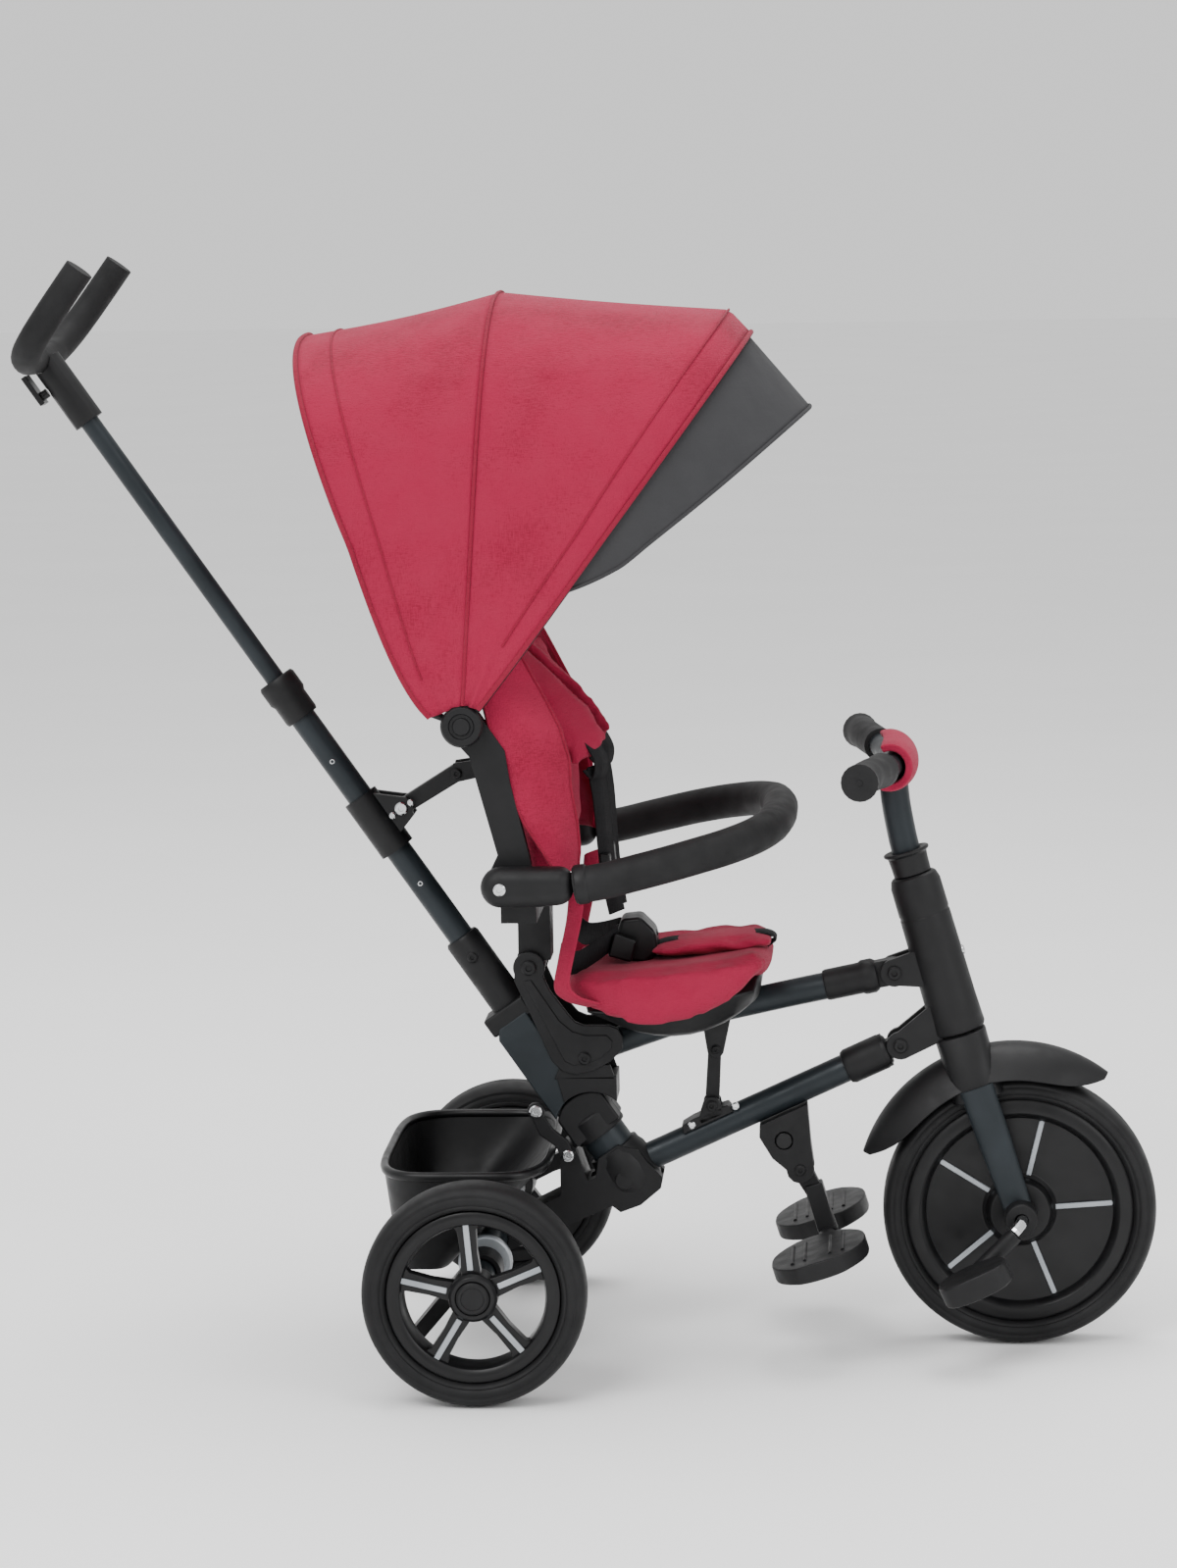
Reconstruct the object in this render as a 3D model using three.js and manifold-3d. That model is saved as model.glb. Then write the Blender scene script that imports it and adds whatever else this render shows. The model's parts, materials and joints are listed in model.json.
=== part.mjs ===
// Children's tricycle with parent push handle, reclining seat, canopy and folding frame.
// Millimetres. +X is forward, +Y is the rider's left, +Z is up, and Z = 0 is the ground.
// The drawing origin is on the ground under the rear axle; FRAME_SHIFT then centres the object.
import * as THREE from 'three';
import { mergeVertices } from 'three/addons/utils/BufferGeometryUtils.js';
import Module from 'manifold-3d';

const wasm = await Module();
wasm.setup();

// ---------------------------------------------------------------- driving dimensions
const GAP = 0.3;                                   // clearance between touching pieces
const FRAME_SHIFT = -97.6;                         // drawing origin to the object's middle

const REAR = { radius: 101, width: 46, track: 456, rim: 79, window: 66, hub: 22 };
const FRONT = { x: 492, radius: 127, width: 50, rim: 108, disc: 88, hub: 30 };
const WHEEL_SIDES = 36;                            // a flat facet touches the ground
const SPOKES = 5;

const AXLE = { r: 6, bore: 6.8, beam: 14 };
const ELBOW = { x: 120, z: 163 };                  // rear pivot of the lower tube
const PUSH = { x: 125, z: 166, dx: -0.57, dz: 0.822 };   // axis of column and push handle
const LOWER_FRONT = { x: 382, z: 282.5 };          // lower pivot on the head
const UPPER_FRONT = { x: 376.7, z: 351.2 };        // upper pivot on the head
const FOLD = { x: 94.1, z: 206 };                  // fold pivot, inside the column's clamp
const UPPER_REAR = {                               // the four pivots form a parallelogram
  x: FOLD.x + UPPER_FRONT.x - LOWER_FRONT.x, z: FOLD.z + UPPER_FRONT.z - LOWER_FRONT.z,
};
const LINK_TOP = { x: 209, z: 286 };
const LINK_FOOT = { x: 206, z: 226 };
const RECLINE = { x: 40, z: 362 };                 // backrest pivot
const CLAMP_PIN = { x: -79, z: 508.5 };
const LINK_LUG = { x: -27, z: 540.5 };
const CANOPY_HUB = { x: -7, z: 604 };
const BAR_PIVOT = { x: 26, z: 460 };
const HEAD = { x: 436.6, z: 295, lean: THREE.MathUtils.degToRad(16), length: 152, r: 22 };
const KNEE = { x: 288, z: 165 };                   // footrest pivot
const FOOT_AXLE = { x: 313, z: 101 };
const LATCH_TOP = { x: 42.5, z: 225 };
const LATCH_FOOT = { x: 72, z: 183 };
const TUBE = { r: 12.3, bore: 10.4, inner: 9 };    // push tube
const CRANK = { r: 5.5, throw: 62, angle: THREE.MathUtils.degToRad(225) };
const BAR = { halfWidth: 180, r: 16.5 };

// ---------------------------------------------------------------- paints
const PAINT = {
  tube: [0x2d3337, 0.42, 0.55],
  plastic: [0x1b1b1d, 0.55, 0.0],
  eva: [0x1d1d1f, 0.8, 0.0],
  foam: [0x202022, 0.85, 0.0],
  red: [0xb83a50, 0.9, 0.0],
  visor: [0x4b4c4e, 0.9, 0.0],
  steel: [0xb8bcc0, 0.25, 1.0],
};

// ---------------------------------------------------------------- solid helpers
function closed(geometry) {
  const bare = new THREE.BufferGeometry();
  bare.setAttribute('position', geometry.getAttribute('position').clone());
  if (geometry.index) bare.setIndex(geometry.index.clone());
  const merged = mergeVertices(bare, 1e-3);
  const p = merged.getAttribute('position');
  const source = merged.index.array;
  const kept = [];
  let volume = 0;
  for (let i = 0; i < source.length; i += 3) {
    const [a, b, c] = [source[i], source[i + 1], source[i + 2]];
    if (a === b || b === c || a === c) continue;
    kept.push(a, b, c);
    const va = new THREE.Vector3().fromBufferAttribute(p, a);
    const vb = new THREE.Vector3().fromBufferAttribute(p, b);
    const vc = new THREE.Vector3().fromBufferAttribute(p, c);
    volume += va.dot(vb.cross(vc));
  }
  if (volume < 0) {
    for (let i = 0; i < kept.length; i += 3) {
      [kept[i + 1], kept[i + 2]] = [kept[i + 2], kept[i + 1]];
    }
  }
  merged.setIndex(kept);
  return merged;
}

function toSolid(geometry) {
  const g = closed(geometry);
  return new wasm.Manifold(new wasm.Mesh({
    numProp: 3,
    vertProperties: new Float32Array(g.getAttribute('position').array),
    triVerts: new Uint32Array(g.index.array),
  }));
}

function fromSolid(solid) {
  const mesh = solid.getMesh();
  const geometry = new THREE.BufferGeometry();
  geometry.setAttribute('position', new THREE.BufferAttribute(mesh.vertProperties, 3));
  geometry.setIndex(Array.from(mesh.triVerts));
  return geometry;
}

function join(...pieces) {
  return fromSolid(pieces.map(toSolid).reduce((sum, solid) => sum.add(solid)));
}

function cut(base, ...tools) {
  return fromSolid(tools.map(toSolid).reduce((rest, tool) => rest.subtract(tool), toSolid(base)));
}

// A flat outline of [x, z] points, given a thickness from y0 to y1.
function slab(outline, y0, y1) {
  const shape = new THREE.Shape(outline.map(([x, z]) => new THREE.Vector2(x, z)));
  const geometry = new THREE.ExtrudeGeometry(shape, { depth: y1 - y0, bevelEnabled: false });
  geometry.rotateX(Math.PI / 2);
  geometry.translate(0, y1, 0);
  return geometry;
}

function box(x0, x1, y0, y1, z0, z1) {
  const geometry = new THREE.BoxGeometry(x1 - x0, y1 - y0, z1 - z0);
  geometry.translate((x0 + x1) / 2, (y0 + y1) / 2, (z0 + z1) / 2);
  return geometry;
}

// A cylinder along Y.
function pin(at, r, y0, y1, sides = 14) {
  const geometry = new THREE.CylinderGeometry(r, r, y1 - y0, sides);
  geometry.translate(at.x, (y0 + y1) / 2, at.z);
  return geometry;
}

// A round bar between two [x, y, z] points, with an end radius for a taper.
function rod(a, b, r, sides = 14, rEnd = r) {
  const from = new THREE.Vector3(...a);
  const to = new THREE.Vector3(...b);
  const geometry = new THREE.CylinderGeometry(rEnd, r, from.distanceTo(to), sides);
  const way = to.clone().sub(from).normalize();
  geometry.applyQuaternion(new THREE.Quaternion().setFromUnitVectors(new THREE.Vector3(0, 1, 0), way));
  geometry.translate(...from.add(to).multiplyScalar(0.5).toArray());
  return geometry;
}

// A tube with an open bore, between two points.
function pipe(a, b, r, bore, sides = 16) {
  const from = new THREE.Vector3(...a);
  const to = new THREE.Vector3(...b);
  const half = from.distanceTo(to) / 2;
  const profile = [[bore, -half], [r, -half], [r, half], [bore, half], [bore, -half]];
  const geometry = new THREE.LatheGeometry(profile.map(([x, y]) => new THREE.Vector2(x, y)), sides);
  const way = to.clone().sub(from).normalize();
  geometry.applyQuaternion(new THREE.Quaternion().setFromUnitVectors(new THREE.Vector3(0, 1, 0), way));
  geometry.translate(...from.add(to).multiplyScalar(0.5).toArray());
  return geometry;
}

function roundSection(r, sides) {
  const shape = new THREE.Shape();
  for (let i = 0; i < sides; i += 1) {
    const a = (i / sides) * 2 * Math.PI;
    shape[i ? 'lineTo' : 'moveTo'](r * Math.cos(a), r * Math.sin(a));
  }
  return shape;
}

function flatSection(width, height, corner = 0) {
  const [w, h, c] = [width / 2, height / 2, corner];
  const outline = c ? [[-w + c, -h], [w - c, -h], [w, -h + c], [w, h - c], [w - c, h], [-w + c, h],
    [-w, h - c], [-w, -h + c]] : [[-w, -h], [w, -h], [w, h], [-w, h]];
  return new THREE.Shape(outline.map(([x, y]) => new THREE.Vector2(x, y)));
}

// A section carried along a smooth curve through [x, y, z] points.
function sweep(points, section, steps) {
  const path = new THREE.CatmullRomCurve3(points.map((p) => new THREE.Vector3(...p)), false, 'centripetal');
  return new THREE.ExtrudeGeometry(section, { steps, extrudePath: path, bevelEnabled: false });
}

// A block whose grid is moved by fn(u, v, w), each from -1 to 1.
function mould(nu, nv, nw, fn) {
  const geometry = new THREE.BoxGeometry(2, 2, 2, nu, nv, nw);
  const p = geometry.getAttribute('position');
  for (let i = 0; i < p.count; i += 1) p.setXYZ(i, ...fn(p.getX(i), p.getY(i), p.getZ(i)));
  return geometry;
}

function circlePoints(at, r, from, to, count) {
  return Array.from({ length: count }, (_, i) => {
    const a = THREE.MathUtils.degToRad(from + ((to - from) * i) / (count - 1));
    return [at.x + r * Math.cos(a), at.z + r * Math.sin(a)];
  });
}

// A profile of [radius, y] points spun about a wheel axle, with a facet facing down.
function spun(profile, x, y, z, sides = WHEEL_SIDES) {
  const grow = 1 / Math.cos(Math.PI / sides);
  const points = profile.map(([r, h]) => new THREE.Vector2(r * grow, h));
  const geometry = new THREE.LatheGeometry(points, sides, Math.PI / sides);
  geometry.translate(x, y, z);
  return geometry;
}

// Points on the push handle's axis and on the steering axis.
const onPush = (s, y = 0, side = 0) => [
  PUSH.x + s * PUSH.dx - side * PUSH.dz, y, PUSH.z + s * PUSH.dz + side * PUSH.dx,
];
const onHead = (h, y = 0, ahead = 0) => [
  HEAD.x - h * Math.sin(HEAD.lean) + ahead * Math.cos(HEAD.lean), y,
  HEAD.z + h * Math.cos(HEAD.lean) + ahead * Math.sin(HEAD.lean),
];
const flat = ([x, , z]) => [x, z];

const tricycle = new THREE.Group();
tricycle.position.x = FRAME_SHIFT;

function add(name, geometry, paint) {
  const [color, roughness, metalness] = PAINT[paint];
  const mesh = new THREE.Mesh(closed(geometry), new THREE.MeshStandardMaterial({ color, roughness, metalness }));
  mesh.name = name;
  tricycle.add(mesh);
}

// ---------------------------------------------------------------- wheels
function tyre(name, x, y, radius, width, rim) {
  const w = width / 2;
  const half = [[rim, w - 5], [rim + 4, w - 1], [radius - 10, w], [radius - 3, w - 6], [radius, w - 13]];
  const profile = [...half, ...half.map(([r, h]) => [r, -h]).reverse(), half[0]];
  add(name, spun(profile, x, y, radius), 'eva');
}

function rearRim(name, side) {
  const y = (side * REAR.track) / 2;
  const outer = REAR.rim - GAP;
  const ring = spun([[REAR.window, -17], [outer, -17], [outer, 17], [REAR.window + 3, 17], [REAR.window, 12],
    [REAR.window, -17]], 0, y, REAR.radius);
  const hubIn = -side * 19;
  const hubOut = side * 23;
  const hub = spun([[0, hubOut], [REAR.hub - 5, hubOut], [REAR.hub, hubOut - side * 5], [REAR.hub - 2, hubIn],
    [AXLE.bore, hubIn], [AXLE.bore, hubOut - side * 6], [0, hubOut - side * 6]], 0, y, REAR.radius, 20);
  const spokes = [];
  for (let i = 0; i < SPOKES; i += 1) {
    const spoke = box(REAR.hub - 6, REAR.window + 3, -9, 9, -4.5, 4.5);
    spoke.rotateY(-THREE.MathUtils.degToRad(95 + (i * 360) / SPOKES));
    spoke.translate(0, y + side * 6, REAR.radius);
    spokes.push(spoke);
  }
  add(name, join(ring, hub, ...spokes), 'plastic');
}

for (const [word, side] of [['right', -1], ['left', 1]]) {
  tyre(`rear_tyre_${word}`, 0, (side * REAR.track) / 2, REAR.radius, REAR.width, REAR.rim);
  rearRim(`rear_rim_${word}`, side);
}
tyre('front_tyre', FRONT.x, 0, FRONT.radius, FRONT.width, FRONT.rim);
{
  const outer = FRONT.rim - GAP;
  const half = [[outer, 17], [FRONT.disc, 19], [FRONT.disc - 2, 12], [FRONT.hub + 3, 16], [FRONT.hub, 26],
    [AXLE.bore, 26]];
  const profile = [...half, ...half.map(([r, h]) => [r, -h]).reverse(), half[0]];
  add('front_rim', spun(profile, FRONT.x, 0, FRONT.radius), 'plastic');
}

// ---------------------------------------------------------------- rear axle and basket
{
  const end = REAR.track / 2 - 25;
  const at = { x: 0, z: REAR.radius };
  add('rear_axle', pin(at, AXLE.r, -REAR.track / 2 - 16, REAR.track / 2 + 16), 'steel');
  add('axle_beam', pipe([0, -end, at.z], [0, end, at.z], AXLE.beam, AXLE.bore), 'plastic');
}

// The tub's level t runs from 0 at the floor to 1 at the rim; inset is the wall's thickness.
const BASKET = { floor: 94, rim: 190, wall: 3, top: [-97, 58, 143], bottom: [-84, -32, 112] };
function tub(inset, lift, height) {
  const round = new THREE.Shape();
  const c = 0.42;
  round.moveTo(1 - c, -1);
  round.absarc(1 - c, -1 + c, c, -Math.PI / 2, 0);
  round.absarc(1 - c, 1 - c, c, 0, Math.PI / 2);
  round.absarc(-1 + c, 1 - c, c, Math.PI / 2, Math.PI);
  round.absarc(-1 + c, -1 + c, c, Math.PI, 1.5 * Math.PI);
  const geometry = new THREE.ExtrudeGeometry(round, { depth: 1, steps: 3, bevelEnabled: false, curveSegments: 5 });
  const p = geometry.getAttribute('position');
  const mix = THREE.MathUtils.lerp;
  for (let i = 0; i < p.count; i += 1) {
    const z = lift + p.getZ(i) * height;
    const t = Math.max(0, (z - BASKET.floor) / (BASKET.rim - BASKET.floor));
    const belly = Math.sin(Math.min(t, 1) * Math.PI) * 5;
    const x0 = mix(BASKET.bottom[0], BASKET.top[0], t) + inset;
    const x1 = mix(BASKET.bottom[1], BASKET.top[1], t) - inset;
    const halfY = mix(BASKET.bottom[2], BASKET.top[2], t) + belly - inset;
    p.setXYZ(i, (x0 + x1) / 2 + (p.getX(i) * (x1 - x0)) / 2, p.getY(i) * halfY, z);
  }
  return geometry;
}
add('basket', cut(tub(0, BASKET.floor, BASKET.rim - BASKET.floor),
  tub(BASKET.wall, BASKET.floor + BASKET.wall, BASKET.rim - BASKET.floor)), 'plastic');

// ---------------------------------------------------------------- column and elbow
const COLUMN_R = 21.5;
{
  const body = slab([[100, 178], [118, 191], [137, 186], [146, 174], [160, 160], [158, 150], [139, 134],
    [120, 127], [112, 133], [14, 90], [-6, 82], [-6, 118], [12, 117], [64, 143], [64, 172], [80, 172],
    [88, 156], [97, 160]], -24, 24);
  const ear = join(pin(LATCH_FOOT, 8, -24, 24), slab([[66, 140], [92, 150], [80, 184], [64, 180]], -24, 24));
  const tongueRoom = join(pin(ELBOW, 29, -10.5, 10.5, 24), box(118, 175, -10.5, 10.5, 158, 205));
  const columnRoom = rod(onPush(18), onPush(80), COLUMN_R + GAP, 20);
  const beamRoom = pin({ x: 0, z: REAR.radius }, AXLE.beam + GAP, -30, 30, 20);
  const buttonRoom = pin({ x: 124, z: 158 }, 9.5, -26, -19);
  const shell = cut(join(body, ear), tongueRoom, columnRoom, beamRoom, buttonRoom);
  add('elbow_housing', join(shell, pin(ELBOW, 4, -18, 18)), 'plastic');
  add('elbow_button', pin({ x: 124, z: 158 }, 8.8, -28, -23), 'plastic');
  const band = rod(onPush(58), onPush(72), 25, 20);
  add('column_tube', join(rod(onPush(18 + GAP), onPush(60), COLUMN_R, 20), band), 'tube');
}

// ---------------------------------------------------------------- seat bracket, on both sides of the tube
{
  const post = slab([[42, 253], [73.5, 211.5], [107, 235], [110, 259], [96, 263], [60, 268]], -22, 22);
  const ear = join(pin(LATCH_TOP, 8, -22, 22), slab([[37, 222], [62, 224], [58, 250], [42, 250]], -22, 22));
  const plate = [...circlePoints(RECLINE, 14, 20, 200, 7), [22, 342], [36, 312], [58, 272], [74, 259],
    [92, 256], [114, 268], [126, 282], [126, 302], [111, 305], [90, 300], [81, 306], [62, 330]];
  const plates = [slab(plate, -30, -22), slab(plate, 22, 30)];
  const webs = [slab([[60, 250], [109, 250], [109, 259], [60, 268]], -30, 30)];
  const socket = [
    slab([onPush(168, 0, -18), onPush(168, 0, 24), onPush(190, 0, 18), onPush(190, 0, -18)].map(flat), -27, 27),
    rod(onPush(186), onPush(262), 16, 16),
  ];
  const pins = [pin(RECLINE, 4, -26, 26), pin(UPPER_REAR, 4, -26, 26)];
  const room = [
    pin(UPPER_REAR, 14, -21.5, 21.5, 18),
    pin(FOLD, 35.6, -31, 31, 30),
    rod(onPush(126 - GAP), onPush(270), TUBE.r + GAP, 16),
  ];
  add('seat_bracket', join(cut(join(post, ear, ...webs, ...plates, ...socket), ...room), ...pins), 'plastic');
}

// ---------------------------------------------------------------- push handle
add('push_tube_lower', pipe(onPush(126), onPush(556), TUBE.r, TUBE.bore), 'tube');
{
  const ring = pipe(onPush(521), onPush(545), 15.5, TUBE.r + GAP);
  const lip = pipe(onPush(544), onPush(562), 17.5, TUBE.r + GAP);
  add('push_collar', join(ring, lip), 'plastic');
  add('push_tube_upper', rod(onPush(442), onPush(870), TUBE.inner, 14), 'tube');
}
{
  const tip = [-349, 1012];
  const base = [-410, 928];
  const at = (t, y) => [THREE.MathUtils.lerp(base[0], tip[0], t), y, THREE.MathUtils.lerp(base[1], tip[1], t)];
  const half = [at(1, 109), at(0.7, 108), at(0.4, 106), at(0.17, 96), at(0.04, 76), at(0, 45)];
  const path = [...half, at(0, 0), ...half.map(([x, y, z]) => [x, -y, z]).reverse()];
  add('handle_grip', sweep(path, roundSection(13.5, 10), 30), 'foam');
  const room = rod([...at(0, -60)], [...at(0, 60)], 13.5 + 2 * GAP, 12);
  const tubeRoom = rod(onPush(840), onPush(870.3), TUBE.inner + GAP, 14);
  const stemRoom = rod(onPush(900, 0, 9), onPush(900, 0, 20), 5.2, 12);
  add('handle_socket', cut(rod(onPush(856), onPush(925), 14.5, 16), room, tubeRoom, stemRoom), 'plastic');
  const plate = slab([onPush(893, 0, 22), onPush(924, 0, 22), onPush(924, 0, 27), onPush(893, 0, 27)].map(flat),
    -11, 11);
  add('handle_release', join(plate, rod(onPush(900, 0, 15.5), onPush(900, 0, 24), 4.5, 10)), 'plastic');
}

// ---------------------------------------------------------------- recline clamp and link
{
  const sleeve = pipe(onPush(368), onPush(428), 17, TUBE.r + 2 * GAP, 16);
  const ear = [onPush(380, 0, -14), onPush(424, 0, -14), onPush(412, 0, -30)].map(flat);
  const outline = [ear[0], flat(onPush(386, 0, -34)), ...circlePoints(CLAMP_PIN, 11, -20, 100, 5), ear[1]];
  const ears = [slab(outline, -15, -9), slab(outline, 9, 15)];
  const pad = join(sleeve, ...ears, pin(CLAMP_PIN, 3.5, -14, 14));
  add('recline_clamp', cut(pad, rod(onPush(360), onPush(440), TUBE.r + 2 * GAP, 16)), 'plastic');
  const bar = slab([[CLAMP_PIN.x + 2, CLAMP_PIN.z - 8], [LINK_LUG.x + 4, LINK_LUG.z - 8],
    [LINK_LUG.x - 4, LINK_LUG.z + 8], [CLAMP_PIN.x - 2, CLAMP_PIN.z + 8]], -5, 5);
  const ends = [pin(CLAMP_PIN, 8.5, -8.5, 8.5), pin(LINK_LUG, 8.5, -8.5, 8.5)];
  add('recline_link', cut(join(bar, ...ends), pin(CLAMP_PIN, 4.3, -10, 10), pin(LINK_LUG, 3.5, -10, 10)),
    'plastic');
}

// ---------------------------------------------------------------- backrest
const POST = { in: 148, out: 162 };
const CUSHION_W = 132;
const backX = (z) => 72 - (z - 457) * 0.227;       // front face of the back cushion
{
  const side = [...circlePoints(BAR_PIVOT, 15, 150, 270, 6), [44, 440], [56, 452], [50, 486], [34, 552],
    [30, 580], ...circlePoints(CANOPY_HUB, 17, 30, 200, 8), [-2, 575], [4, 553], [22, 486]];
  const pieces = [
    box(24, 56, -POST.out, POST.out, 424, 455),
    box(28, 58, -21, 21, 366, 430),
    pin(RECLINE, 13, -21, 21, 18),
    rod([13, -POST.in - 3, 548], [13, POST.in + 3, 548], 8.5, 12),
  ];
  for (const s of [-1, 1]) {
    pieces.push(slab(side, Math.min(s * POST.in, s * POST.out), Math.max(s * POST.in, s * POST.out)));
    pieces.push(pin(BAR_PIVOT, 4, Math.min(s * 155, s * 176), Math.max(s * 155, s * 176)));
    pieces.push(pin(CANOPY_HUB, 6, Math.min(s * 155, s * 173), Math.max(s * 155, s * 173)));
    pieces.push(slab([[-34, 531], [12, 541], [12, 556], [-30, 550]], Math.min(s * 9.5, s * 14.5),
      Math.max(s * 9.5, s * 14.5)));
  }
  const panel = mould(1, 4, 2, (u, v, w) => {
    const z = 452 + ((w + 1) / 2) * 188;
    return [backX(z) - 29 + (u + 1) * 2, v * (CUSHION_W - 8), z];
  });
  add('back_frame', cut(join(...pieces, panel), pin(RECLINE, 4.8, -30, 30)), 'plastic');

  const cushion = mould(2, 8, 8, (u, v, w) => {
    const z = 458 + ((w + 1) / 2) * 202;
    const narrow = 1 - 0.12 * Math.max(0, w) ** 2;
    const edge = 1 - 0.35 * Math.abs(v) ** 6 - 0.2 * Math.abs(w) ** 8;
    const wing = 14 * v * v;
    return [backX(z) - 12 + wing + u * 11 * edge, v * CUSHION_W * narrow, z];
  });
  add('seat_back_cushion', cushion, 'red');

  for (const [word, s] of [['right', -1], ['left', 1]]) {
    const pad = mould(1, 4, 8, (u, v, w) => {
      const t = (w + 1) / 2;
      const x = THREE.MathUtils.lerp(102, 47, t) + u * 5 * (1 - 0.3 * v * v);
      const z = THREE.MathUtils.lerp(560, 652, t) + u * 3;
      return [x, s * 45 + v * 26, z];
    });
    add(`shoulder_pad_${word}`, pad, 'red');
  }
}

// ---------------------------------------------------------------- canopy
// Each rib: angle above the horizontal, reach from the hub, and its own layer at the hub.
const RIBS = {
  rear: { angle: 109, reach: 360, layer: 163.8 },
  mid: { angle: 85, reach: 378, layer: 167.1 },
  front: { angle: 55, reach: 413, layer: 170.4 },
};
const BOW = { foot: 0.5, power: 2.6 };
// t runs from -1 on the right to 1 on the left; grow stands the point off the rib.
function bowPoint(angle, reach, halfWidth, t, grow = 0) {
  const a = THREE.MathUtils.degToRad(angle);
  const knee = 0.5;
  let y = halfWidth + grow;
  let r = reach * BOW.foot * ((1 - Math.abs(t)) / knee);
  if (Math.abs(t) < 1 - knee) {
    const q = (1 - Math.abs(t) / (1 - knee)) * (Math.PI / 2);
    y *= Math.cos(q) ** (2 / BOW.power);
    r = reach * BOW.foot + (reach * (1 - BOW.foot) + grow) * Math.sin(q) ** (2 / BOW.power);
  }
  return [CANOPY_HUB.x + r * Math.cos(a), Math.sign(t) * y, CANOPY_HUB.z + r * Math.sin(a)];
}

function bow(name, rib, paint) {
  const path = [];
  for (let i = -12; i <= 12; i += 1) {
    const t = (i / 12) * 0.96;
    path.push(bowPoint(rib.angle, rib.reach, rib.layer, i === 0 ? 1e-6 : t));
  }
  const strip = sweep(path, flatSection(2.6, 9), 30);
  const discs = [-1, 1].map((s) => pipe(
    [CANOPY_HUB.x, s * (rib.layer - 1.4), CANOPY_HUB.z],
    [CANOPY_HUB.x, s * (rib.layer + 1.4), CANOPY_HUB.z], 18, 6.9, 20,
  ));
  add(name, join(strip, ...discs), paint);
}
bow('canopy_rear_bow', RIBS.rear, 'plastic');
bow('canopy_mid_bow', RIBS.mid, 'plastic');
bow('canopy_front_bow', RIBS.front, 'plastic');

// A cover between two directions from the hub.
const COVER_FOOT = 0.9;
const COVER_HALF = 174;
function cover(name, from, to, paint) {
  const sheet = mould(2, 20, 1, (u, v, w) => {
    const t = v === 0 ? 1e-6 : v * COVER_FOOT;
    const k = (u + 1) / 2;
    const stand = w > 0 ? 2.4 : 0;
    const a = bowPoint(from.angle, from.reach, COVER_HALF, t, stand);
    const b = bowPoint(to.angle, to.reach, COVER_HALF, t, stand);
    return a.map((value, i) => THREE.MathUtils.lerp(value, b[i], k));
  });
  add(name, sheet, paint);
}
cover('canopy_rear_cover', { angle: 112, reach: 376 }, { angle: 85.2, reach: 388 }, 'red');
cover('canopy_front_cover', { angle: 84.8, reach: 388 }, { angle: 52.5, reach: 433 }, 'red');
{
  const visor = mould(2, 16, 1, (u, v, w) => {
    const t = v === 0 ? 1e-6 : v * 0.72;
    const k = (u + 1) / 2;
    const taper = 1 - Math.abs(v) ** 5;
    const stand = w > 0 ? 0 : -2.4;
    return bowPoint(THREE.MathUtils.lerp(52, 52 - 0.8 - 8.6 * taper, k), THREE.MathUtils.lerp(429, 409, k),
      171, t, stand);
  });
  add('canopy_visor', visor, 'visor');
}

// ---------------------------------------------------------------- safety bar
for (const [word, s] of [['right', -1], ['left', 1]]) {
  const y = s * BAR.halfWidth;
  const inner = s * (POST.out + 1.5);
  const outer = s * 196.5;
  const arm = slab([...circlePoints(BAR_PIVOT, 18, 90, 270, 9), [92, 444], [92, 478]],
    Math.min(inner, outer), Math.max(inner, outer));
  const bore = rod([48, y, 461], [95, y, 461], 9, 14);
  const eye = pin(BAR_PIVOT, 4.8, Math.min(s * 160, s * 178), Math.max(s * 160, s * 178));
  add(`armrest_${word}`, cut(arm, bore, eye), 'plastic');
}
{
  const half = [[93, 180, 461], [98, 180, 461], [112, 181, 464], [150, 180, 473], [195, 171, 484], [235, 146, 493],
    [260, 105, 499], [270, 52, 502]];
  const path = [...half, [272, 0, 503], ...half.map(([x, y, z]) => [x, -y, z]).reverse()];
  const ring = sweep(path, roundSection(BAR.r, 12), 34);
  const tenons = [-1, 1].map((s) => rod([50, s * BAR.halfWidth, 461], [100, s * BAR.halfWidth, 461], 8, 14));
  add('safety_bar', join(ring, ...tenons), 'foam');
}

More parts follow.
